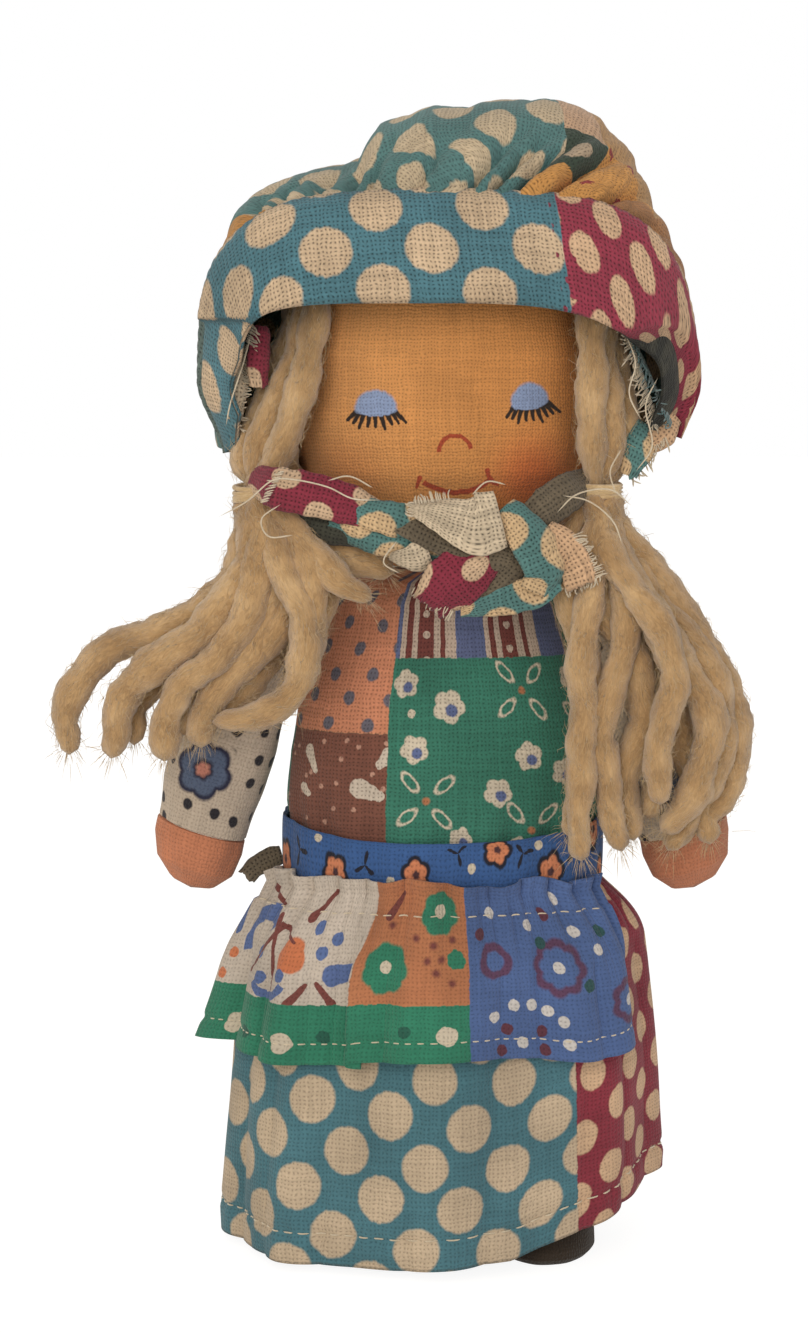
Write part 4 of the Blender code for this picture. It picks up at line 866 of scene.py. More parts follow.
def stuffed(name, nodes, across, down, squareness, finish, dent=None, tilt=0):
    """A stuffed piece with the outline of its solids, closed at both ends; dent(s, z) moves its skin out."""
    shapes = [outline(node, tilt) for node in nodes]
    low = min(shape[1] for shape in shapes)
    high = max(shape[2] for shape in shapes)

    def level(t):
        return high + (low - high) * (0.5 - 0.5 * cos(pi * t))

    rows = {}
    for step in range(down + 1):
        t = step / down
        z = min(max(level(t), low + 1e-3), high - 1e-3)
        for at, z_low, z_high in shapes:
            if z_low <= z <= z_high:
                rows[step] = at(z)
                break
        else:
            rows[step] = rows[step - 1]
    widest = max(rows.values(), key=lambda row: row[1][0])
    flat_at = girth_map(widest[1][0], widest[1][1], squareness)

    def place(s, t):
        step = round(t * down)
        middle, half = rows[step]
        z = level(t)
        grow = dent(s, z) if dent else 0.0
        x, y = box_point(around(s), half[0] + grow, half[1] + grow, squareness)
        if step in (0, down):
            x = y = 0.0
        x, z = tilted(middle[0] + x, z, -tilt)
        return spot(x, middle[1] + y, z)

    return cloth(name, across, down, place, lambda s, t: (flat_at(s), level(t)), finish, closed=True)


def smooth(value, start, end):
    """0 before start, 1 after end and a soft rise between them."""
    share = min(max((value - start) / (end - start), 0), 1)
    return share * share * (3.0 - 2.0 * share)


def lumps(seed, size, depth):
    """A soft unevenness of stuffing: its size and depth in millimetres."""
    def dent(s, z):
        angle = around(s)
        where = Vector((cos(angle) * 14 / size, sin(angle) * 14 / size, z / size + seed))
        return depth * uneven(where)
    return dent


# %% [markdown]
# The body, head and limbs are cotton bags turned right side out and stuffed. The skin of such a bag is
# full between its seams and uneven by a few tenths of a millimetre. The side seams of body and arms
# draw in a narrow line.


# %% Body, arms and hands
def seamed(dent, depth=0.45, width=0.010):
    """Add a drawn-in seam at both sides to an unevenness."""
    def both(s, z):
        drawn = sum(exp(-((s - seam) / width) ** 2) for seam in (0.25, 0.75))
        return dent(s, z) - depth * drawn
    return both


def creased(dent, z_from, z_to, depth, count):
    """Add small upright creases that fade from one height to another."""
    def both(s, z):
        share = min(max((z - z_to) / (z_from - z_to), 0), 1)
        wave = cos(count * tau * s + 2.4 * uneven((s * 9, z / 16, 3.1)))
        return dent(s, z) + depth * share * share * wave
    return both


torso = stuffed("torso_cover_cloth", ["torso_cover"], 240, 90, 2.5, BODY_COTTON,
                creased(seamed(lumps(1, 11, 0.5)), 60, 74, 0.35, 17))
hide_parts("torso_cover")
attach(torso, "torso")

ARM_TILT = radians(17.5)
for side, name in ((-1, "r"), (1, "l")):
    sleeve = stuffed("sleeve_cloth_" + name, ["sleeve_" + name], 96, 60, 2, SLEEVE_COTTON,
                     seamed(lumps(4.0 + side, 7, 0.45), 0.3, 0.02), -side * ARM_TILT)
    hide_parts("sleeve_" + name)
    hand = stuffed("hand_cloth_" + name, ["hand_" + name], 96, 40, 2, HAND_COTTON,
                   lumps(8.0 + side, 6, 0.3),
                   -side * ARM_TILT)
    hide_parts("hand_" + name)
    for piece in (sleeve, hand):
        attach(piece, "arm_" + name)

# %% [markdown]
# Head, neck, legs and boots are made the same way. The head is a flat pillow: the seam runs round its
# edge, hidden by hair and bonnet.

# %% Head, neck, legs and boots
head = stuffed("head_cover_cloth", ["head_cover"], 160, 80, 2.35, FACE_COTTON, lumps(2, 12, 0.35))
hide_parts("head_cover")
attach(head, "head")

neck = stuffed("neck_cloth", ["neck"], 48, 12, 2, FACE_COTTON)
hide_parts("neck")
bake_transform(neck)

for side, name in ((-1, "r"), (1, "l")):
    loose = lumps(12.0 + side, 7, 0.3)
    leg = stuffed("leg_cloth_" + name, ["leg_" + name], 72, 40, 2, STOCKING_COTTON,
                  lambda s, z, loose=loose: loose(s, z) - 1.3 * smooth(z, 26, 40))
    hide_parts("leg_" + name)
    boot = stuffed("boot_cloth_" + name, ["boot_" + name], 96, 48, 2.2, BOOT_COTTON,
                   lumps(15.0 + side, 5, 0.25))
    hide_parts("boot_" + name)
    for piece in (leg, boot):
        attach(piece, "leg_" + name)

# %% [markdown]
# The skirt is one piece of cloth gathered into the waistband. Small gathers leave the waist and run
# together into eight soft folds. Its hem is turned up inside and stitched, and the front lifts towards
# the doll's left, where the boot shows. The grid follows the cloth down the outside and back up the hem.


# %% Folds
def fold(turns, angle, seed, wander=1.6):
    """A fold wave from -1 to 1 with round tops and narrow valleys, unevenly spaced round a piece."""
    phase = turns * angle + wander * uneven((2.2 * cos(angle), 2.2 * sin(angle), seed))
    return 2.0 * abs(cos(phase / 2)) ** 0.8 - 1.0


def cloth_length(place, across, level, zero=0.5):
    """Length of cloth from a share of the way across, measured along one level with its folds."""
    points = [Vector(place(i / across, level)) for i in range(across + 1)]
    lengths = distances(points) / MM
    middle = float(np.interp(zero * across, range(across + 1), lengths))
    return lambda s: float(np.interp(s * across, range(across + 1), lengths)) - middle


# %% Skirt
SKIRT_TOP, SKIRT_HEM = 53.7, 2.4
SKIRT_LENGTH = SKIRT_TOP - SKIRT_HEM
WAIST_HALF = (23, 13.4)
HIP_HALF = (28.4, 17.6)
HEM_HALF = (31.2, 21.6)
HIP_SHARE = 0.20
HEM_LIFT = 8.6
HEM_TURN = 4.6
HEM_STITCH = 4.4


def skirt_at(angle, share, grow=0):
    """A point of the skirt's outer face in millimetres, a share of the way from waist to hem."""
    if share < HIP_SHARE:
        part = sin(pi / 2 * share / HIP_SHARE)
        half = [a + (b - a) * part for a, b in zip(WAIST_HALF, HIP_HALF)]
    else:
        part = sin(pi / 2 * (share - HIP_SHARE) / (1 - HIP_SHARE))
        half = [a + (b - a) * part for a, b in zip(HIP_HALF, HEM_HALF)]
    main = 0.9 * min(1, share / HIP_SHARE) * cos(8 * angle)
    small = 0.42 * exp(-((share - 0.07) / 0.12) ** 2) * fold(38, angle, 3)
    middle = 0.45 * smooth(share, 0.05, 0.3) * fold(17, angle + 0.1 * share, 6, 2.6)
    soft = 0.7 * uneven((3 * cos(angle), 3 * sin(angle), share * 2.6))
    out = main + small + (middle + soft) * min(1, share / HIP_SHARE) + grow
    x, y = box_point(angle, half[0] + out, half[1] + out, 2.2)
    turn = (angle + pi) % tau - pi
    lifted = cos(turn * 90 / 74) if abs(turn) < radians(74) else 0.0
    hem = SKIRT_HEM + HEM_LIFT * lifted - 1.2 * smooth(-turn, radians(72), radians(100)) * (turn < 0)
    return Vector((x, y, SKIRT_TOP + (hem - SKIRT_TOP) * share))


def skirt_place(s, t):
    """The skirt's cloth: down the outside, round the fold of the hem and up inside it."""
    angle = around(s)
    down = t * (SKIRT_LENGTH + HEM_TURN)
    inside = max(0, down - SKIRT_LENGTH)
    share = min(down, SKIRT_LENGTH - inside) / SKIRT_LENGTH if inside == 0 else 1 - inside / SKIRT_LENGTH
    above_hem = (1 - share) * SKIRT_LENGTH
    drawn = -0.4 * exp(-((above_hem - HEM_STITCH) / 0.7) ** 2)
    pucker = 0.22 * exp(-((above_hem - 3.6) / 2.2) ** 2) * fold(46, angle, 9, 3)
    grow = drawn + pucker - 0.75 * smooth(inside, 0, 0.6)
    return spot(*skirt_at(angle, share, grow))


skirt_u = cloth_length(skirt_place, 720, 0.6)
skirt = cloth("skirt_cloth", 320, 96, skirt_place,
              lambda s, t: (skirt_u(s), SKIRT_TOP - t * (SKIRT_LENGTH + HEM_TURN)), SKIRT_COTTON,
              thickness=0.35, closed=True)
skirt_width = skirt_u(1) - skirt_u(0)
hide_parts("skirt")
print("skirt cloth", round(skirt_width, 1), "by", SKIRT_LENGTH + HEM_TURN, "mm")

# %% [markdown]
# The apron is gathered on a thread a few millimetres below its top, so its heading stands up in a frill
# in front of the waistband. Below the thread the cloth opens into folds. One of them is a deep pleat
# that laps over itself at the doll's right, and the lower corner there stands out from the skirt.

# %% Apron
APRON_TOP, APRON_HEADING, APRON_DROP = 55.6, 4.6, 20.4
APRON_STITCH = 22.2
APRON_FROM, APRON_TO = radians(-174), radians(-28)
PLEAT_AT, PLEAT_WIDTH, PLEAT_SHIFT = 0.43, 0.020, 0.066


def apron_place(s, t):
    """The apron's cloth from the frill at its top to its hem."""
    down = t * (APRON_HEADING + APRON_DROP)
    below = max(0, down - APRON_HEADING) / APRON_DROP
    lap = (s - PLEAT_AT) / PLEAT_WIDTH
    pleat = smooth(below, 0, 0.45)
    angle = APRON_FROM + (APRON_TO - APRON_FROM) * (s - PLEAT_SHIFT * pleat * lap * exp(-lap * lap) * 0.9)
    frill = max(0, 1 - down / APRON_HEADING)
    waves = fold(30, angle, 21, 2.4)
    if frill > 0:
        grow = 0.85 + 0.4 * frill + 0.75 * frill * (0.6 + waves) + 0.25 * (waves + 1)
    else:
        gathers = 0.62 * exp(-below * 3.2) * (waves + 1)
        big = 2.5 * below * (0.5 + 0.5 * cos(8 * angle + 0.6))
        lobes = 0.55 * smooth(below, 0.1, 0.5) * (fold(19, angle, 4, 2) + 1)
        corner = 2.6 * below ** 2 * smooth(-angle, radians(146), radians(174))
        grow = 0.75 + gathers + big + lobes + corner
    grow += 1.5 * pleat * exp(-(lap - 0.6) ** 2) + 0.35 * exp(-((down - APRON_STITCH) / 0.6) ** 2) * -1
    z = APRON_TOP - down
    z += 0.75 * frill * uneven((s * 11, 0.3, 2)) * 2 + 0.5 * below * sin(s * 13)
    z += below * (1.5 * smooth(s, 0.80, 1) + 0.8 * smooth(s, PLEAT_AT, PLEAT_AT + 0.03))
    share = (SKIRT_TOP - z) / SKIRT_LENGTH
    point = skirt_at(angle, max(share, 0), grow)
    return spot(point.x, point.y, z)


apron_u = cloth_length(apron_place, 900, 0.55)
apron_zero = apron_u(0.575)
apron = cloth("apron_cloth", 420, 64, apron_place,
              lambda s, t: (apron_u(s) - apron_zero + 1, (1 - t) * (APRON_HEADING + APRON_DROP)),
              APRON_COTTON, thickness=0.35, offset=0)
apron_width = apron_u(1) - apron_u(0)
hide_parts("apron")
print("apron cloth", round(apron_width, 1), "by", APRON_HEADING + APRON_DROP, "mm")

# %% [markdown]
# Skirt and apron hang from the waist and cover the legs.

# %% Hips
for piece in (skirt, apron):
    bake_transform(piece)

# %% Waistband
band_low, band_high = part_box("waistband")
BAND_LOW, BAND_HIGH = band_low.z / MM, band_high.z / MM


def band_place(s, t):
    """Blue calico round the waist, turned over along its top and slack between the gathers."""
    angle = around(s)
    high = BAND_HIGH + 1.5 * abs(cos(angle)) ** 3 - 1.0 * exp(-((angle % tau - 4.6) / 0.7) ** 2)
    z = high + (BAND_LOW - high) * smooth(t, 0.12, 1) if t > 0.12 else high - 0.5 * (1 - t / 0.12)
    turned = -0.45 * (1 - t / 0.12) if t < 0.12 else 0.0
    slack = 0.22 * fold(15, angle, 31, 2.5) + 0.3 * sin(pi * t)
    x, y = box_point(angle, 22.9 + turned + slack, 14.1 + turned + slack, 2.5)
    return spot(x, y, z)


band_u = cloth_length(band_place, 360, 0.5)
band = cloth("waistband_cloth", 240, 20, band_place, lambda s, t: (band_u(s), 62.0 - 9.0 * t), CALICO,
             thickness=0.3, closed=True)
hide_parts("waistband")
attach(band, "torso")

# %% [markdown]
# The bonnet's brim is a cuff of doubled cloth, turned back round the face. Its cloth runs from the top
# edge down the outside, round a soft fold at the front and back up inside, where the wrong side of the
# print shows, darkened to near black at the doll's left by painted shade. It tapers to a point at the doll's
# left.

# %% Even steps along a curve
def even(curve, start, end, weight=None, steps=720):
    """Two functions: from a share of a curve's length to its angle, and from its angle to the share."""
    angles = np.linspace(start, end, steps + 1)
    points = [curve(angle) for angle in angles]
    gaps = [(b - a).length * (weight(a) if weight else 1) for a, b in zip(points, points[1:])]
    lengths = np.cumsum([0.0] + gaps)
    return (lambda share: float(np.interp(share * lengths[-1], lengths, angles)),
            lambda angle: float(np.interp(angle, angles, lengths) / lengths[-1]))


# %% Brim
BRIM_SIDES_Z = 121.0
BRIM_FRONT = (28.3, 15.3, -24, -19.5)
BRIM_BACK = (34.5, 30.7, -17.5, -8.5)
BRIM_ENDS = (radians(-100), radians(95))
BRIM_HALF = 0.9
BRIM_DEEP = 16.6
BRIM_DRAW = 3.2
CUFF_END_MM = 134.2


def arch(angle, squareness, half_width, rise, top_y, side_y):
    """A point of an arch round the face: angle 0 is its top, and it runs down to both sides."""
    across, up = sin(angle), cos(angle)
    power = 2.0 / squareness
    z = BRIM_SIDES_Z + (rise * up ** power if up > 0 else rise * up)
    half_width -= BRIM_DRAW * smooth(-z, -126, -115.5)
    x = half_width * copysign(abs(across) ** power, across)
    return Vector((x, side_y + (top_y - side_y) * max(up, 0) ** 0.7, z))


def brim_edges(angle):
    """Front and back edge of the brim: the front is squarer at the doll's right."""
    return arch(angle, 5.5 if angle < 0 else 2.9, *BRIM_FRONT), arch(angle, 3.6, *BRIM_BACK)


def brim_frame(angle):
    """Front edge, back edge and outward direction of the brim at an angle round the arch."""
    front, back = brim_edges(angle)
    small = radians(2)
    outward = (brim_edges(angle + small)[1] - brim_edges(angle - small)[1]).cross(back - front).normalized()
    if outward.dot((front + back) / 2 - Vector((0, 0, BRIM_SIDES_Z))) < 0:
        outward = -outward
    return front, back, outward


brim_angle, brim_share = even(lambda angle: brim_edges(angle)[1], *BRIM_ENDS)
BRIM_MIDDLE = brim_share(0)


def brim_taper(angle, outside):
    """How far the front edge is folded back towards the back edge: to a tip at the doll's left."""
    if angle < 0:
        return 0.72 * smooth(-angle, radians(80), radians(104))
    if outside:
        wave = 0.05 * uneven((angle * 9, 0, 7))
        return (0.98 + wave) * smooth(angle, radians(46), radians(94))
    return 0.45 * smooth(angle, radians(56), radians(98))


def brim_place(s, t):
    """The cuff's cloth, from its top edge over the outside and round the front fold to the inside."""
    angle = brim_angle(s)
    front, back, outward = brim_frame(angle)
    taper = brim_taper(angle, t < 0.501)
    share = abs(1 - 2 * t)
    across = taper + (1 - taper) * share
    rounded = sqrt(max(0, 1 - max(0, 1 - share / 0.09) ** 2))
    side = 1.0 if t < 0.5 else -1.0
    closing = 1 - 0.75 * smooth(share, 0.86, 1)
    out = side * BRIM_HALF * rounded * closing
    belly = sin(pi * share)
    out += 0.6 * belly * (1 if side > 0 else 0.3) + 0.8 * uneven((s * 6, share * 1.3, 0.5)) * belly
    place = front + (back - front) * across + outward * out
    if angle < 0 and t < 0.5:
        place -= outward * 1.3 * smooth(CUFF_END_MM - place.z, -0.2, 0.5)
    edge_wave = 0.45 * uneven((s * 9, 5, 0)) + 0.10 * fold(70, tau * s, 12)
    place += (back - front).normalized() * edge_wave * share
    return spot(*place)


BRIM_ACROSS, BRIM_DOWN, BRIM_SLANT = 340, 60, 0.12
grid = np.array([[(brim_place(i / BRIM_ACROSS, j / BRIM_DOWN) - MIDLINE) / MM for j in range(BRIM_DOWN + 1)]
                 for i in range(BRIM_ACROSS + 1)])
steps = np.linalg.norm(np.diff(grid, axis=0), axis=2)
front = np.array([1 - smooth(abs(x), 19, 30) for x in grid[1:, BRIM_DOWN // 4, 0]])[:, None]
steps = steps * front + steps[:, [BRIM_DOWN // 4]] * (1 - front)
brim_table = np.concatenate([np.zeros((1, BRIM_DOWN + 1)), np.cumsum(steps, axis=0)])
brim_table -= [np.interp(0, grid[60:280, j, 0], brim_table[60:280, j]) for j in range(BRIM_DOWN + 1)]
FOLD_ROW = BRIM_DOWN // 2
down = np.cumsum(np.linalg.norm(np.diff(grid, axis=1), axis=2), axis=1)
down = np.concatenate([np.zeros((BRIM_ACROSS + 1, 1)), down], axis=1)
to_fold = down[BRIM_ACROSS // 2, FOLD_ROW]
brim_depth = np.where(np.arange(BRIM_DOWN + 1) <= FOLD_ROW, BRIM_DEEP * (1 - down / to_fold),
                      (down[:, [FOLD_ROW]] - down) * BRIM_DEEP / to_fold)


def brim_flat(s, t):
    """Place on the flat cuff: along its rows from the middle, and up from the front fold, a little askew."""
    at = round(s * BRIM_ACROSS), round(t * BRIM_DOWN)
    v = brim_depth[at]
    below = 4.5 if at[0] < BRIM_ACROSS / 2 and 0 < v and grid[at][2] < CUFF_END_MM else 0.0
    return (brim_table[at] + BRIM_SLANT * (v - 7.5) - below, v)


brim = cloth("bonnet_brim_cloth", BRIM_ACROSS, BRIM_DOWN, brim_place, brim_flat, BRIM_COTTON, thickness=0.3)
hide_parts("bonnet_brim")
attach(brim, "head")

# %% [markdown]
# The crown is a bag of the same cotton, gathered into the brim's seam and drawn together at the back.
# It stands up in a peak at the doll's left of the middle. Gathers start at the seam with narrow valleys
# and die out towards the back, and a few of them are deep and lean to the doll's left. Its map is the
# bag laid out flat, as a disc round the middle of its back.

# %% Crown
CROWN_CENTRE = Vector((0, 2, 128))
CROWN_POLE = Vector((2.5, 27.5, 134)) - CROWN_CENTRE
NAPE_AT = Vector((0, 17.6, 111))
CROWN_ACROSS, CROWN_DOWN = 520, 84
CROWN_LENGTH = 60.0
SWELL_AT = (-34, -31, -27, -22, -16, -11.5, -8, -3, 3, 8, 14, 20, 26, 30, 34)
SWELL = (-0.6, 0.2, 2.4, 2.7, 1.5, 1.3, 6, 8.6, 9.8, 10.8, 10.6, 7.6, 3.4, 2.6, 1.6)
PLEATS = ((2, 4.2), (4.8, 5.8), (7.6, 5), (12.2, 5.8), (18.4, 4.8), (23.6, 3.4), (-4.4, 2), (-11.6, 3),
          (-15.2, 2.8), (-19.8, 3.8), (-24.4, 4.8), (-27.6, 3.6))
PLEAT_RUN, PLEAT_LEAN = 7.5, 0.6


def crown_edge(angle):
    """The crown's edge: behind the brim at the front, snug on the hair at the nape."""
    if BRIM_ENDS[0] <= angle <= BRIM_ENDS[1]:
        front, back, outward = brim_frame(angle)
        return front + (back - front) * 0.86 - outward * (BRIM_HALF + 0.45)
    end = BRIM_ENDS[0] if angle < 0 else BRIM_ENDS[1]
    corner = crown_edge(end)
    share = (abs(angle) - abs(end)) / (pi - abs(end))
    turn = pi / 2 * share
    return Vector((corner.x * cos(turn) ** 0.62, corner.y + (NAPE_AT.y - corner.y) * sin(turn) ** 0.8,
                   corner.z + (NAPE_AT.z - corner.z) * share))


crown_angle, _ = even(crown_edge, -pi, pi,
                      lambda edge: 1.0 + 1.2 * (edge.z > 140 and -26 < edge.x < 23))


def pleat_depth(x, run):
    """How far the deep pleats draw the cloth in, at a place along the seam and a distance from it."""
    gaps = ((x - at - PLEAT_LEAN * run) / (0.5 + 0.10 * run) for at, _ in PLEATS)
    drawn = sum(depth * exp(-gap * gap) for gap, (_, depth) in zip(gaps, PLEATS))
    return drawn * exp(-(run / PLEAT_RUN) ** 2) * min(1, 0.7 + run / 4)


def crown_line(s):
    """One line of the crown's cloth from its edge to the middle of the back."""
    edge_at = crown_edge(crown_angle(s))
    edge = edge_at - CROWN_CENTRE
    span = edge.angle(CROWN_POLE)
    turn = tau * s
    upper = smooth(edge_at.z, 114, 136)
    full = float(np.interp(edge_at.x, SWELL_AT, SWELL)) * upper + 1.6 * (1 - upper)
    line = []
    for row in range(CROWN_DOWN):
        t = row / CROWN_DOWN
        run = t * CROWN_LENGTH
        direction = (edge.normalized() * sin((1 - t) * span)
                     + CROWN_POLE.normalized() * sin(t * span)) / sin(span)
        reach = edge.length + (CROWN_POLE.length - edge.length) * t + full * sin(pi * t ** 0.62)
        near = exp(-t * 6.5) * min(1, 0.25 + t * 14)
        reach += (0.85 - 0.55 * upper) * near * fold(62, turn + 0.12 * t, 14, 3.6)
        reach += (0.85 - 0.5 * upper) * sin(pi * min(1, t * 1.25)) * fold(17, turn - 0.25 * t, 17, 3)
        reach += 0.7 * exp(-((t - 0.93) / 0.09) ** 2) * fold(16, turn, 19, 1)
        reach += 1.3 * uneven(direction * 2.6 + Vector((4, 0, 0))) * sin(pi * t)
        reach -= 0.7 * (1 - upper) * exp(-((run - 3.4) / 0.8) ** 2)
        if edge_at.z > 130:
            reach -= pleat_depth(edge_at.x, run)
        line.append(CROWN_CENTRE + direction * reach)
    return [*line, CROWN_CENTRE + CROWN_POLE]


crown_rows = np.array([crown_line(index / CROWN_ACROSS) for index in range(CROWN_ACROSS)])
crown_rows = np.concatenate([crown_rows, crown_rows[:1]])
radial = np.cumsum(np.linalg.norm(np.diff(crown_rows, axis=1), axis=2)[:, ::-1], axis=1)[:, ::-1]
radial = np.concatenate([(radial + radial.mean(axis=0)) / 2, np.zeros((CROWN_ACROSS + 1, 1))], axis=1)
girth = np.cumsum(np.linalg.norm(np.diff(crown_rows, axis=0), axis=2), axis=0)
girth = np.concatenate([np.zeros((1, CROWN_DOWN + 1)), girth])
full_turn = np.minimum(girth[-1] / np.maximum(radial.mean(axis=0), 1e-6), tau)
full_turn[-1] = tau
turned = (girth / np.maximum(girth[-1], 1e-6) - np.interp(0, crown_rows[160:360, 0, 0],
        range(160, 360)) / CROWN_ACROSS)
turned = turned * full_turn


def crown_index(s, t):
    """Row and column of a point of the crown's grid."""
    return round(s * CROWN_ACROSS), round(t * CROWN_DOWN)


def crown_flat(s, t):
    """Place on the flat disc, in millimetres from the middle of the bag."""
    at = crown_index(s, t)
    return (radial[at] * sin(turned[at]), radial[at] * cos(turned[at]))


crown = cloth("bonnet_crown_cloth", CROWN_ACROSS, CROWN_DOWN, lambda s,
              t: spot(*crown_rows[crown_index(s, t)]),
              crown_flat, CROWN_COTTON, thickness=0.3, closed=True)
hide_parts("bonnet_crown")
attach(crown, "head")

# %% [markdown]
# Yarn hair: soft roving about 4 mm thick, with loose fibres along it and a haze of fine ones standing
# off it. A strand is a tube along a smooth route. Its thickness wanders, shallow grooves run along it,
# and it ends blunt, as cut roving does. The haze is a few hundred hair-thin curls on each strand.


# %% Tubes along routes
def smooth_route(points, step=0.8):
    """A smooth curve through points in millimetres, read off every step of its length."""
    places = [Vector(point) for point in points]
    padded = [2 * places[0] - places[1], *places, 2 * places[-1] - places[-2]]
    fine = []
    for before, start, end, after in zip(padded, padded[1:], padded[2:], padded[3:]):
        for index in range(12):
            t = index / 12
            curve = 2 * start + (end - before) * t + (2 * before - 5 * start + 4 * end - after) * t * t
            fine.append(0.5 * (curve + (3 * start - before - 3 * end + after) * t ** 3))
    fine.append(places[-1])
    lengths = distances(fine)
    count = max(3, round(lengths[-1] / step))
    wanted = np.linspace(0, lengths[-1], count + 1)
    table = np.array([tuple(point) for point in fine])
    return [Vector(row) for row in np.stack([np.interp(wanted, lengths, table[:, k]) for k in range(3)],
            1)], lengths[-1]


def tubes(name, routes, finish, sides):
    """One piece made of tubes. Each route is its points, its length and radius(along, angle, share)."""
    vertices, faces, flats = [], [], []
    for points, length, radius in routes:
        base, last = len(vertices), len(points) - 1
        side = Vector((0, 1, 0))
        for index, place in enumerate(points):
            along = (points[min(index + 1, last)] - points[max(index - 1, 0)]).normalized()
            side = (side - along * side.dot(along)).normalized()
            other = along.cross(side)
            for corner in range(sides):
                angle = tau * corner / sides
                reach = radius(length * index / last, angle, index / last)
                point = place + (side * cos(angle) + other * sin(angle)) * reach
                vertices.append(spot(*point))
        ends = (len(vertices), len(vertices) + 1)
        vertices += [spot(*points[0]), spot(*points[-1])]
        girth = tau * radius(length * 0.5, 0, 0.5)
        rows = [length * index / last for index in range(last + 1)]
        for index in range(last):
            for corner in range(sides):
                after = (corner + 1) % sides
                a, b = base + index * sides, base + (index + 1) * sides
                faces.append((a + corner, a + after, b + after, b + corner))
                u, v = (rows[index], rows[index + 1]), (girth * corner / sides, girth * (corner + 1) / sides)
                flats += [(u[0], v[0]), (u[0], v[1]), (u[1], v[1]), (u[1], v[0])]
        for end, row, level in ((ends[0], base, 0), (ends[1], base + last * sides, length)):
            for corner in range(sides):
                after = (corner + 1) % sides
                faces.append((row + after, row + corner, end) if end == ends[0] else (row + corner,
                        row + after, end))
                flats += [(level, girth * corner / sides)] * 3
    mesh = bpy.data.meshes.new(name)
    mesh.from_pydata(vertices, [], faces)
    mesh.uv_layers.new(name=FLAT).uv.foreach_set("vector", np.array(flats, float).ravel())
    mesh.materials.append(finish)
    made = bpy.data.objects.new(name, mesh)
    add_to_scene(made)
    select_only(made)
    bpy.ops.object.shade_smooth()
    return made


THREAD_RADIUS = 0.11


def thin(radius):
    """A radius for thread: even, with pointed ends."""
    return lambda along, angle, share: radius * min(1, 8 * share, 8 * (1 - share)) + 1e-4


# %% Strands and their haze
STRAND_RADIUS = 2.25
FIBRE_RADIUS = 0.034
TIE_THREAD_RADIUS = 0.36
dice = random.Random(20)


def roving(length, radius, seed, narrow=0.6, wide_by=9, end=True):
    """Radius of a yarn strand: narrow where it leaves the tie, lumpy and grooved, blunt at its end."""
    def at(along, angle, share):
        start = narrow + (1 - narrow) * smooth(along, 0, wide_by)
        blunt = 1.0
        if end:
            left = (length - along) / (1.15 * radius)
            blunt = sqrt(max(0, 1 - max(0, 1 - left) ** 2))
        lump = 1 + 0.26 * uneven((along / 5.5, seed, 0)) - 0.22 * smooth(share, 0.72, 1) * end
        turn = angle + 0.10 * along + seed
        groove = 0.03 * cos(3 * turn)
        rough = 0.20 * uneven((cos(angle) * 1.4, sin(angle) * 1.4, along / 1.9 + seed * 3))
        return max(0.03, radius * start * blunt * (lump + groove + rough))
    return at


def haze(routes, per_mm, finish, name, tuft=0):
    """Fine fibres that stand off the strands."""
    hairs = []
    for points, length, radius in routes:
        for _ in range(int(length * per_mm)):
            share = dice.uniform(0.02, 0.97)
            index = min(int(share * (len(points) - 1)), len(points) - 2)
            along = (points[index + 1] - points[index]).normalized()
            angle = dice.uniform(0, tau)
            side = along.orthogonal().normalized()
            out = side * cos(angle) + along.cross(side) * sin(angle)
            reach = radius(length * share, angle, share) * 0.93
            root = points[index] + out * reach
            sweep = along * dice.choice((-1, 1)) * dice.uniform(0.6, 2.8)
            swerve = along.cross(out) * dice.uniform(-1.3, 1.3)
            lift = dice.uniform(0.1, 0.75) * (2.2 if dice.random() < 0.10 else 1)
            middle = root + sweep * 0.5 + out * lift + swerve * 0.4
            tip = root + sweep + out * lift * dice.uniform(0.2, 1.6) + swerve
            hairs.append(([root, middle, tip], sweep.length, lambda a, b, c: FIBRE_RADIUS * (1.15 - c)))
        ahead = (points[-1] - points[-3]).normalized()
        for _ in range(tuft):
            stray = Vector([dice.gauss(0, 0.6) for _ in range(3)])
            root = points[-1] - ahead * 0.8 + stray * 1.3
            tip = root + (ahead + stray) * dice.uniform(0.5, 1.7)
            hairs.append(([root, (root + tip) / 2 + stray * 0.2, tip], 2, lambda a, b,
                          c: FIBRE_RADIUS * (1.15 - c)))
    return tubes(name, hairs, finish, 3)


# %% [markdown]
# The hair lies down each side of the face in a hank of three strands and is tied beside the chin.
# Below the ties the right bunch sweeps out over the arm, and the left one falls in long overlapping
# loops. The places of the strands are given in millimetres: across, towards the back, and up.

# %% Hair routes
TIES = {"r": Vector((-26, -13, 110.2)), "l": Vector((21.6, -13, 110.6))}
HANKS = {
    "r": (
        ((-17.5, -13.5, 137.5), (-18.6, -15.2, 129.5), (-20.6, -15.8, 122), (-23.6, -14.8, 114.5)),
        ((-19, -12, 137), (-20.4, -13, 129.5), (-23.6, -13.4, 122), (-26.4, -13.4, 114.5)),
        ((-20.4, -9.5, 134), (-22.8, -9.8, 127), (-26, -10.6, 120), (-27.8, -11.6, 114.5)),
    ),
    "l": (
        ((20, -13.5, 138), (20.4, -15.4, 130), (20.2, -15.8, 122), (20.6, -14.8, 115)),
        ((21.4, -11.6, 137), (22, -12.4, 129.5), (23, -13.4, 122), (22.8, -13.6, 115)),
        ((22.6, -9, 134), (23.8, -9.6, 127), (25.2, -10.6, 120), (24, -11.8, 114.5)),
    ),
}
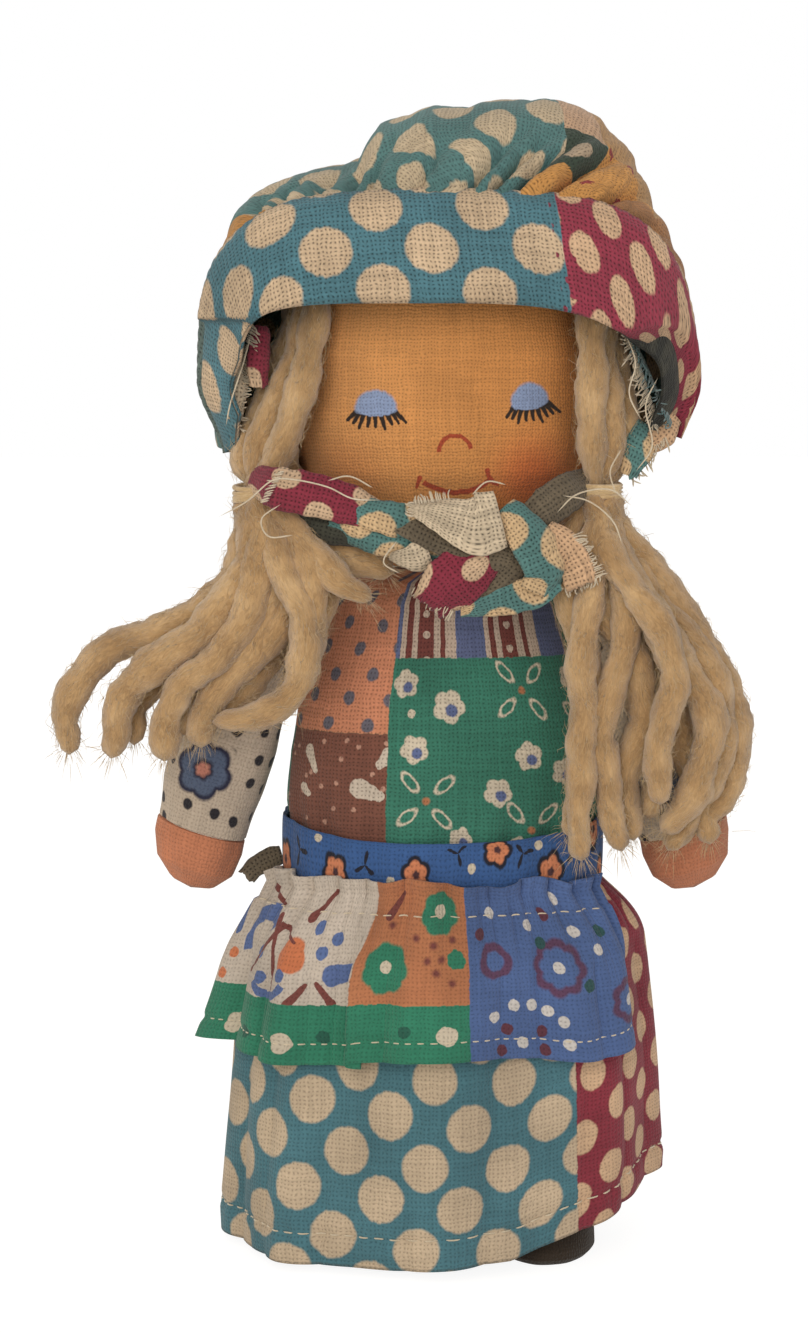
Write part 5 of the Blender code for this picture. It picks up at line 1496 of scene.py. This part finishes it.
LOCKS = {
    "r": (
        ((-27.2, -13.4, 104.8), (-29.4, -14, 98.6), (-34.6, -14.2, 93.4), (-42, -13.8, 90.2),
         (-48.6, -13.2, 87), (-52.4, -12.6, 80.6), (-53, -12.4, 73.2)),
        ((-26.2, -16, 104.6), (-28.6, -17.6, 98.4), (-33.6, -18, 91.4), (-40.4, -17.2, 86.8),
         (-45, -16.2, 81.6), (-46.4, -15.4, 73.4)),
        ((-25.2, -17, 103.6), (-26.4, -18.6, 96.4), (-30.6, -19.2, 89.2), (-35.8, -18.8, 84.6),
         (-38.6, -17.6, 79), (-39.4, -16.6, 72.6)),
        ((-23.6, -17.4, 104), (-21.2, -19.8, 97.6), (-19.2, -20.4, 90.6), (-20.2, -20, 84), (-25, -19.6, 80),
         (-31.6, -18.8, 79.2)),
        ((-25, -13.6, 103.6), (-23.8, -14.2, 96), (-24.8, -14.6, 88), (-29.2, -14.6, 82),
         (-35, -14.2, 79.6)),
        ((-26.4, -12, 104.2), (-28.2, -12, 97.4), (-32, -12.2, 90), (-38.4, -12.2, 85.6),
         (-43.4, -12.2, 80.6), (-43.8, -12.4, 75)),
        ((-24.6, -15.8, 104), (-24, -17, 97), (-26.2, -17.6, 89.8), (-31.2, -17.2, 84.4),
         (-34.2, -16.6, 78.6), (-34, -16.2, 74.6)),
        ((-24.2, -12.6, 105), (-21.8, -15.6, 99.6), (-22.6, -17.2, 93), (-27, -17, 87), (-32.8, -16, 83.2),
         (-37.2, -15.4, 76.8)),
        ((-21.8, -16.6, 105.4), (-19.2, -18.8, 100.6), (-18, -19.6, 94), (-19.6, -19.4, 87),
         (-22.4, -18.8, 82.6)),
        ((-22, -16, 106.8), (-18.2, -18.6, 102.6), (-14.6, -19.8, 98.6), (-10.6, -20, 95.8)),
        ((-22.6, -13, 107.6), (-19.2, -14.6, 105.2), (-15, -15.2, 102.8), (-10.8, -15.2, 100.6),
         (-6.6, -15, 99.2)),
        ((-23.4, -12, 105.6), (-20.4, -13.4, 102), (-17.6, -14.6, 97.4), (-18.6, -15.8, 91),
         (-21.6, -16.4, 86)),
    ),
    "l": (
        ((20.8, -16.6, 104.4), (20.2, -18.6, 97), (19.2, -19.4, 87), (19.2, -19.4, 76), (19, -19, 67.6),
         (19.8, -18.6, 60)),
        ((22.4, -15.6, 104), (24.8, -17.2, 97.2), (24.8, -18, 88.6), (22.4, -18.2, 79.6), (22.2, -17.8, 70),
         (24.8, -17.2, 60)),
        ((23.6, -13.2, 105.2), (28.8, -13.6, 99.6), (34.8, -13.6, 91.6), (39.4, -13.2, 83.2),
         (41.4, -12.8, 74.6), (40, -12.6, 67.6), (36.4, -12.6, 64)),
        ((22.8, -15.4, 104), (26.4, -17.4, 96.4), (31.6, -18, 88.4), (35.8, -17.6, 81.8),
         (36.4, -16.8, 74.8), (34.4, -16.2, 67.2), (30.4, -15.8, 63.6)),
        ((18.4, -14, 106.8), (16.8, -15.2, 101.4), (17.4, -15.8, 95.4), (19.8, -16.4, 88.4),
         (20.6, -16.4, 80), (18.6, -16.2, 70.4), (17.2, -15.8, 62.4)),
        ((23, -13.2, 104), (29, -14.2, 96), (33.6, -14.4, 86), (36.6, -13.8, 76), (35, -13.6, 66),
         (32, -13.4, 59.6)),
        ((22.4, -12.6, 103.6), (27.4, -13, 94), (31.4, -13.2, 84), (34, -13.2, 74), (37, -13, 66.4),
         (37.4, -13, 60.4)),
        ((22.4, -17, 103.6), (26, -20.2, 97.6), (30.2, -21, 90.4), (31.2, -20.2, 82.6), (29, -19.4, 74.6),
         (29.8, -18.6, 67.4)),
        ((22, -12.4, 104.4), (26, -12.8, 97), (30.6, -13, 88.6), (32.4, -13, 80), (30.6, -12.8, 71),
         (28.8, -12.8, 64)),
        ((21.6, -14, 103.2), (22.2, -15, 95), (26.4, -15.4, 86.6), (28, -15.2, 78), (25.6, -15, 70),
         (26.8, -14.8, 61.6)),
        ((22.6, -13, 104.4), (28, -14.8, 98), (33.2, -15.6, 91), (38.4, -15.2, 83.6), (39.2, -14.6, 75.6),
         (37, -14.2, 69), (33.6, -14, 66.6)),
    ),
}

# %% Strands in place
for name in ("r", "l"):
    tie = TIES[name]
    hank = []
    for index, places in enumerate(HANKS[name]):
        points, length = smooth_route([*places, tie + Vector((0.7 * (index - 1), 0.5 * (index - 1), 1.2)),
                                       tie - Vector((0, 0, 1.5))])
        hank.append((points, length, roving(length, 2.15, 3.1 * index + len(name), 0.8, 6, False)))
    for index, (points, length, radius) in enumerate(hank):
        full = radius
        hank[index] = (points, length, lambda along, angle, share, full=full, length=length:
                       full(along, angle, share) * (1 - 0.45 * smooth(along, length - 9, length - 2)))
    hank_piece = tubes("hair_hank_" + name, hank, YARN, 14)
    hank_haze = haze(hank, 18, FUZZ, "hair_hank_haze_" + name)
    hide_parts("hair_side_" + name)
    locks = []
    for index, places in enumerate(LOCKS[name]):
        turn = 2.4 * index
        start = tie + Vector((2.0 * cos(turn), 1.5 * sin(turn), -1))
        points, length = smooth_route([start, start * 0.5 + Vector(places[0]) * 0.5, *places])
        wander = [Vector((uneven(point / 7 + Vector((index, 0, 0))),
                          0.4 * uneven(point / 7 + Vector((0, index, 0))),
                          uneven(point / 7 + Vector((0, 0, index))))) for point in points]
        points = [point + move * 1.1 * smooth(k, 0, 14) for k,
                  (point, move) in enumerate(zip(points, wander))]
        locks.append((points, length, roving(length, STRAND_RADIUS * dice.uniform(0.9, 1.12),
                1.7 * index + 2, 0.8, 6)))
    lock_piece = tubes("hair_locks_" + name, locks, YARN, 14)
    lock_haze = haze(locks, 15, FUZZ, "hair_locks_haze_" + name, 60)
    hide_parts(*[f"hair_lock_{name}_{number}" for number in range(1, 6)])
    for piece in (hank_piece, hank_haze):
        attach(piece, "head")
    for piece in (lock_piece, lock_haze):
        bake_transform(piece)
    wraps = []
    for turn in range(4):
        ring = [tie + Vector((3.2 * cos(a), 2.8 * sin(a), 0.9 - 0.62 * turn + 0.25 * sin(a + turn)))
                for a in np.linspace(0, tau * 1.02, 30)]
        points, length = smooth_route(ring, 0.5)
        wraps.append((points, length, thin(TIE_THREAD_RADIUS)))
    wrap = tubes("hair_tie_thread_" + name, wraps, FUZZ, 8)
    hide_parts("hair_tie_" + name)
    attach(wrap, "head")
    print("hair", name, len(locks), "locks,", len(hank), "strands in the hank")

# %% Hair over the head
CAP_STRAND = 3.7
cap_at, cap_low, cap_high = outline("hair_cap")


def cap_place(s, t):
    """Yarn over the back and sides of the head, in strands that slope down to the ties."""
    angle = radians(-22) + radians(224) * s
    z = cap_high + (cap_low + 0.4 - cap_high) * (0.5 - 0.5 * cos(pi * t))
    middle, half = cap_at(min(max(z, cap_low + 0.1), cap_high - 0.2))
    half_depth = cap_depth(z)
    strands = 0.55 * abs(sin((z + 0.30 * 22 * abs(cos(angle))) * pi / CAP_STRAND)) - 0.3
    x, y = box_point(angle, half[0] + strands - 0.3, half_depth + strands - 0.3, 2.35)
    return spot(x, y, z)


head_at, head_low, head_high = outline("head_cover")


def cap_depth(z):
    """Half depth of the hair at a height, from the head inside it."""
    return head_at(min(z, head_high - 0.2))[1][1] + 2.4


cap = cloth("hair_cap_yarn", 150, 90, cap_place,
            lambda s, t: (84 * s, (cap_high - cap_low) * 1.3 * t), YARN, thickness=1.6)
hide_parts("hair_cap")
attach(cap, "head")

# %% [markdown]
# The bonnet ties are torn strips of the same cottons, knotted in front of the chin. Torn cloth has no
# hem: its ends are ragged and fray into single threads. A strip is a narrow grid along a route, and the
# way its face looks can turn along the route, so that it can fold and twist. The colours change where
# the strip shows its wrong side.


# %% Torn strips
def strip(name, places, widths, finish, faces=((0, -1, 0),), start_ragged=0, end_ragged=0, cup=0.5,
          origin=(0, 0), seed=0, body="head"):
    """A torn strip along a route; its widths and the way its face looks are spread along the route."""
    points, length = smooth_route(places, 0.45)
    last = len(points) - 1
    across_count = max(10, int(max(widths) / 0.35))
    shares = np.linspace(0, 1, len(widths))
    looks = [Vector(face) for face in faces]
    ragged_seed = seed * 3.7 + 1.0

    def place(s, t):
        at = t * last
        index = min(int(at), last - 1)
        point = points[index].lerp(points[index + 1], at - index)
        along = (points[min(index + 1, last)] - points[max(index - 1, 0)]).normalized()
        look = looks[0]
        if len(looks) > 1:
            where = t * (len(looks) - 1)
            base = min(int(where), len(looks) - 2)
            look = looks[base].lerp(looks[base + 1], where - base)
        look = (look - along * look.dot(along)).normalized()
        side = along.cross(look)
        width = float(np.interp(t, shares, widths)) / 2
        offset = (s - 0.5) * 2
        edge = 0.22 * uneven((t * length / 1.3, offset * 2, ragged_seed))
        point = point + side * (offset * width + edge * abs(offset))
        point += look * (cup * (1 - offset * offset) - cup * 0.5)
        point += look * (0.55 * uneven(point / 3.2 + Vector((seed, 0, 0))))
        tear = uneven((offset * width / 0.9, seed, 4)) + 0.5 * uneven((offset * width / 0.3, seed, 9))
        if t == 0.0:
            point -= along * start_ragged * (0.6 + tear)
        if t == 1.0:
            point += along * end_ragged * (0.6 + tear)
        return spot(*point)

    made = cloth(name, across_count, last,
                 place, lambda s, t: (origin[0] + t * length, origin[1] + (s - 0.5) * max(widths)), finish,
                 thickness=0.28, offset=0)
    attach(made, body)
    return made


def fringe(name, start, end, direction, count, reach, finish, seed=0):
    """Single threads that stand out of a torn edge between two points."""
    pick = random.Random(seed)
    routes = []
    for index in range(count):
        root = Vector(start).lerp(Vector(end), (index + pick.uniform(-0.3, 0.3)) / max(count - 1, 1))
        way = Vector(direction).normalized()
        stray = Vector((pick.uniform(-0.5, 0.5), pick.uniform(-0.45, 0.3), pick.uniform(-0.5, 0.5)))
        length = reach * pick.uniform(0.45, 1.25)
        bend = (way + stray * 0.5).normalized() * length * 0.5
        tip = (way + stray).normalized() * length
        points, run = smooth_route([root - way * 0.6, root, root + bend, root + tip], 0.3)
        routes.append((points, run, thin(pick.uniform(0.07, 0.13))))
    made = tubes(name, routes, finish, 4)
    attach(made, "head")
    return made


# %% Bonnet ties
FORWARD = (0, -1, 0)
tie_pieces = [
    strip("tie_strip_r_cloth", ((-25.4, -9.6, 117.6), (-26.2, -10.8, 114.8), (-26.2, -15.6, 112.4),
                                (-23.2, -20.4, 111.4), (-18.2, -21, 110.5), (-13.4, -20.9, 109.2),
                                (-9.6, -20.8, 107.6)),
          (3, 3.4, 4.4, 5.6, 6, 5.6, 4.2), CRIMSON_TIE, ((-0.7, -0.8, 0), (-0.3, -1, 0.1), (0, -1, 0.1)),
          seed=1, cup=0.9, end_ragged=0.3, origin=(6, 0.6)),
    strip("tie_strip_r_turned", ((-12.8, -20.4, 109), (-9.8, -21.6, 107.8), (-6.2, -22, 107),
                                 (-1.4, -21.4, 105.6), (3.4, -20.8, 104.2)),
          (3.4, 4.4, 5, 4.4, 4), TEAL_TIE, ((0, -1, 0.3), (0, -1, -0.2), (0, -1, 0.1)), seed=2, cup=0.8,
          origin=(-2.4, 0.4)),
    strip("tie_under_layer", ((-15.6, -19.4, 106.2), (-11.4, -20.4, 104.6), (-6.8, -20.8, 103.8),
                              (0.4, -20.4, 102.6)),
          (2.2, 3.8, 4.2, 3.4), TEAL_TIE, ((0, -1, -0.4), (0, -1, 0)), seed=3, start_ragged=0.5,
          origin=(4.2, 0.2)),
    # The dark strip under the ties carries painted shade: its dark colour stands in for the shadow there.
    strip("tie_under_dark", ((-23, -16.8, 107.4), (-19, -18.2, 106.4), (-15, -19.4, 105.2),
                             (-11, -19.4, 104.4)),
          (2.4, 3.4, 4, 2.6), DARK_WRONG_SIDE_SHADE_COTTON, ((0, -1, -0.3),), seed=13, start_ragged=0.5),
    strip("tie_selvage_end", ((-5.8, -21.9, 107.4), (-1.2, -22.2, 105.2), (4.6, -22.2, 102.8),
                              (9.4, -21.8, 101.8)),
          (4.6, 4.8, 4.6, 3.6), OLIVE_COTTON, ((0, -1, 0.1),), seed=4, start_ragged=0.4),
    strip("tie_end_pale_cloth", ((-4.3, -23.2, 108.9), (-1.6, -23.7, 108.2), (0.9, -23.9, 107.4),
            (4, -23.9, 106.6),
                                 (7.5, -23.1, 107.3)),
          (2, 4.2, 6.2, 8.6, 8), PALE_COTTON, ((0, -1, 0.25), (0.1, -1, 0.1)), seed=5, start_ragged=0.5,
          cup=0.7),
    strip("tie_end_crimson_cloth", ((6.2, -21.9, 102.6), (3, -22.2, 100.2), (0.2, -22, 97.8),
            (-1.9, -21.2, 95.6)),
          (5, 7.6, 8.2, 5.4), CRIMSON_TIE, ((0, -1, 0), (0.1, -1, -0.2)), seed=6, end_ragged=0.9,
          origin=(1.4, 3.4)),
    strip("tie_small_end_cloth", ((-2.2, -21.4, 102.6), (-4.6, -21.6, 101.8), (-7.4, -21, 102)),
          (5.4, 3.8, 0.9), PALE_COTTON, ((0, -1, -0.2),), seed=7, end_ragged=0.3),
    strip("tie_loop_front", ((8, -22, 108.8), (10.6, -23, 106), (12.8, -23.2, 102.8), (14, -22.8, 99.6),
                             (12.8, -22, 97)),
          (3.6, 5.2, 6.2, 6.4, 5.4), TEAL_TIE, ((0, -1, 0.2), (0.2, -1, 0), (0.7, -1, 0)), seed=8, cup=1.2,
          origin=(-0.8, 0.6)),
    strip("tie_loop_back", ((14.8, -21.4, 99.4), (12.2, -21.8, 97.4), (8.6, -21.9, 96.2), (5, -21.6, 95.2),
                            (2.4, -21.2, 94.4)),
          (4.6, 4.6, 4.2, 3, 1.2), TEAL_TIE, ((0, -1, 0.3), (0, -1, 0)), seed=9, end_ragged=0.3,
          origin=(-1, 1.5)),
    strip("tie_loop_inner", ((10.4, -21.2, 104.2), (9.6, -21.6, 101.2), (7.4, -21.5, 98.6), (4.4, -21.2, 97)),
          (3, 3.6, 3.2, 2.2), OLIVE_COTTON, ((0, -1, 0.1),), seed=10),
    strip("tie_strip_l_cloth", ((25.6, -9.8, 117.4), (23.6, -10.6, 114.2), (20.4, -13.4, 112),
                                (16.6, -18.4, 110.4),
                                (13.2, -20.8, 108.2), (10.6, -21, 106.2)),
          (3.2, 3.4, 4.2, 5.4, 5.4, 4), OLIVE_COTTON, ((0.7, -0.8, 0), (0.3, -1, 0.1), (0, -1, 0.1)), seed=11,
          cup=0.7),
    strip("tie_end_pink_cloth", ((13.6, -21.4, 105.6), (15.8, -21.8, 103.8), (17.6, -21.6, 101.2),
            (18.8, -21, 98.4)),
          (3.4, 4.6, 4.8, 4.6), PINK_COTTON, ((0, -1, 0.1), (0.15, -1, -0.1)), seed=12, end_ragged=0.5),
]
knot = stuffed("tie_knot_cloth", ["tie_knot"], 48, 24, 2, TEAL_TIE, lumps(22, 2.2, 0.5))
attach(knot, "head")
for piece, node in zip(tie_pieces, (*["tie_strip_r"] * 4, "tie_end_pale", "tie_end_pale",
                                    "tie_end_crimson", "tie_end_pale", "tie_end_teal", "tie_end_teal",
                                    "tie_end_teal", "tie_strip_l", "tie_end_pink")):
    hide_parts(node)
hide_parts("tie_knot")

# %% Scraps inside the brim
scraps = [
    strip("scrap_crimson_r", ((-25.2, -14.6, 133), (-25.6, -15.6, 129.4), (-25.6, -15.4, 125.4)),
          (2.2, 3.4, 2.6),
          CRIMSON_TIE, ((0.3, -1, 0),), seed=21, start_ragged=0.4, end_ragged=0.6, origin=(3, 6.4)),
    strip("scrap_tan_r", ((-27.4, -14.2, 130.6), (-28.2, -14.4, 126), (-29, -13.8, 121)), (1.6, 2.6, 2),
          PALE_COTTON, ((0.2, -1, 0),), seed=22, start_ragged=0.4, end_ragged=0.8),
    strip("scrap_teal_l", ((28.8, -11.6, 119.2), (27.2, -13.2, 116.6), (25.6, -13.6, 113.4)), (4.4, 4.8, 2.6),
          TEAL_TIE, ((0.2, -1, 0),), seed=23, end_ragged=0.9, origin=(0, 6)),
    strip("scrap_pink_l", ((32.2, -10.6, 121), (30.4, -11.8, 118.4), (28, -12.4, 116.4)), (3, 4, 2.4),
          PINK_COTTON, ((0.4, -1, 0),), seed=24, end_ragged=0.6),
]

# %% Frayed ends
fringes = [
    fringe("fray_pale_top", (-4, -23.6, 109.8), (0.4, -23.8, 110.4), (-0.25, -0.1, 1), 14, 0.9, THREAD, 1),
    fringe("fray_pale_side", (-4.6, -23.4, 109.6), (-4.8, -23.4, 107.8), (-1, -0.1, 0.1), 7, 0.8, THREAD, 2),
    fringe("fray_pink_side", (17.8, -21.6, 105), (21.2, -21, 99.2), (1, 0, 0.35), 22, 1.3, THREAD, 3),
    fringe("fray_pink_end", (21.2, -21, 98.9), (16.6, -21, 97.4), (0.15, 0, -1), 14, 1, THREAD, 4),
    fringe("fray_crimson_end", (0.9, -21.6, 94.2), (-4.3, -21.2, 97.4), (-0.5, 0, -1), 16, 1.2, THREAD, 5),
    fringe("fray_crimson_start", (-22.4, -21.4, 113.6), (-24.6, -21.2, 109.6), (-1, 0, -0.2), 12, 1.2,
           THREAD, 6),
    fringe("fray_brim_r", (-26.4, -16.4, 133.4), (-29.4, -12.6, 119), (0.9, -0.4, -0.5), 54, 1.8, THREAD, 7),
    fringe("fray_brim_l", (24.6, -17.2, 133.6), (29.8, -12.4, 119.6), (-0.5, -0.6, -0.5), 70, 2.4, THREAD, 8),
    fringe("fray_brim_l_dark", (25.4, -16.6, 132.6), (31.6, -12, 120), (-0.2, -0.7, -0.6), 60, 2.2, SCRAP, 9),
    fringe("fray_brim_l_low", (30.6, -12, 118.4), (25.6, -12.4, 113), (0.5, -0.5, -1), 26, 2.6, THREAD, 10),
]

# %% Loose threads
LOOSE = (
    ((-31, -21.4, 107.4), (-27, -21.8, 109.6), (-23.6, -22.4, 112.4), (-20.6, -22.6, 112.6),
     (-16, -22.6, 111.6),
     (-12.6, -22.2, 110), (-8.6, -22.6, 109.8)),
    ((24.4, -17.4, 133), (26, -18.6, 128.4), (25.2, -18.4, 124.2), (27, -17.8, 120.4)),
    ((29.4, -15.4, 126.4), (27.6, -16.8, 122.4), (28.6, -16.4, 117), (26.4, -16.2, 113.4)),
    ((-26.6, -17.2, 132), (-27.8, -18, 127.6), (-29.4, -16.6, 123), (-30.2, -15.4, 119.6)),
    ((-22.4, -21.2, 109.2), (-25, -21.8, 107.2), (-24, -21.8, 104.8), (-20.6, -21.6, 105)),
    ((-16, -21.2, 112.4), (-13, -21.8, 113), (-9.8, -21.6, 111.4)),
    ((16, -21.6, 110.4), (19.6, -22, 109.6), (22.8, -21.6, 107), (24.2, -21.4, 103.8)),
    ((15.2, -21.4, 108), (18, -22, 110.6), (22.4, -21.8, 111.2), (25.4, -21.4, 109)),
    ((24.2, -18.6, 116.6), (22.6, -19.6, 113.6), (23.4, -19.8, 110.6)),
    ((-6.6, -22, 104.2), (-8.4, -22.4, 101.4), (-6.2, -22.4, 99.8)),
    ((3.6, -23.8, 110.6), (5.6, -24.4, 112.4), (8.2, -24, 112)),
)
routes = []
for places in LOOSE:
    points, length = smooth_route(places, 0.4)
    routes.append((points, length, thin(THREAD_RADIUS)))
loose = tubes("loose_threads", routes, THREAD, 5)
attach(loose, "head")

# %% [markdown]
# Sewing thread shows as a running stitch round the skirt's hem, along the apron's hem and its right
# side, and as the thread that gathers the apron. Each stitch is a short tube that dips into the cloth at
# both ends. It takes its place from the cloth's own function, so it always lies on the cloth.


# %% Stitches
def running_stitch(name, place, path, count, lift=0.16, cover=0.84):
    """Stitches along a path of cloth shares; place gives the cloth and lift stands them off it."""
    routes = []
    for index in range(count):
        ends = [path(index / count), path((index + cover) / count)]
        start, end = [Vector(place(*share) - MIDLINE) / MM for share in ends]
        middle = Vector(place(*path((index + cover / 2) / count)) - MIDLINE) / MM
        across = Vector(place(ends[0][0] + 1e-3, ends[0][1]) - place(ends[0][0] - 1e-3, ends[0][1]))
        upward = Vector(place(ends[0][0], ends[0][1] - 4e-3) - place(*ends[0]))
        out = across.cross(upward).normalized()
        if out.dot(middle - Vector((0, 0, middle.z))) < 0:
            out = -out
        points = [start - out * 0.1, start.lerp(middle, 0.5) + out * lift, middle + out * lift * 1.25,
                  middle.lerp(end, 0.5) + out * lift, end - out * 0.1]
        routes.append((points, (end - start).length, thin(THREAD_RADIUS)))
    made = tubes(name, routes, THREAD, 6)
    return made


hem_level = (SKIRT_LENGTH - HEM_STITCH) / (SKIRT_LENGTH + HEM_TURN)
apron_length = APRON_HEADING + APRON_DROP
stitches = [
    running_stitch("skirt_hem_stitches", skirt_place, lambda p: (p, hem_level), 84),
    running_stitch("apron_hem_stitches", apron_place, lambda p: (0.02 + 0.96 * p,
            APRON_STITCH / apron_length), 52),
    running_stitch("apron_side_stitches", apron_place, lambda p: (0.975, 0.2 + 0.68 * p), 10),
    running_stitch("apron_gather_thread", apron_place, lambda p: (0.04 + 0.9 * p,
            APRON_HEADING / apron_length), 30),
]
for piece in stitches:
    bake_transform(piece)

# %% Cloth end at the waist
stub = strip("waist_end_cloth", ((-23.4, -1, 57), (-25.2, -1.6, 56.6), (-27.2, -2, 55.4),
        (-28.4, -2.2, 54.2)),
             (2.6, 3.2, 3, 2.6), OLIVE_COTTON, ((0, -1, 0.2),), seed=15, end_ragged=0.5, body="torso")
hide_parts("waist_end")

# %% [markdown]
# The stuffing inside each bag is not seen, but it stays in the model, so it gets a fibre finish.

# %% Stuffing
STUFFING = fibre("cotton_waste_stuffing", ("#cfc8ba", "#ded8cc", "#ebe7de"))
for name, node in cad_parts.items():
    if "stuffing" in name:
        node.data.materials.clear()
        node.data.materials.append(STUFFING)
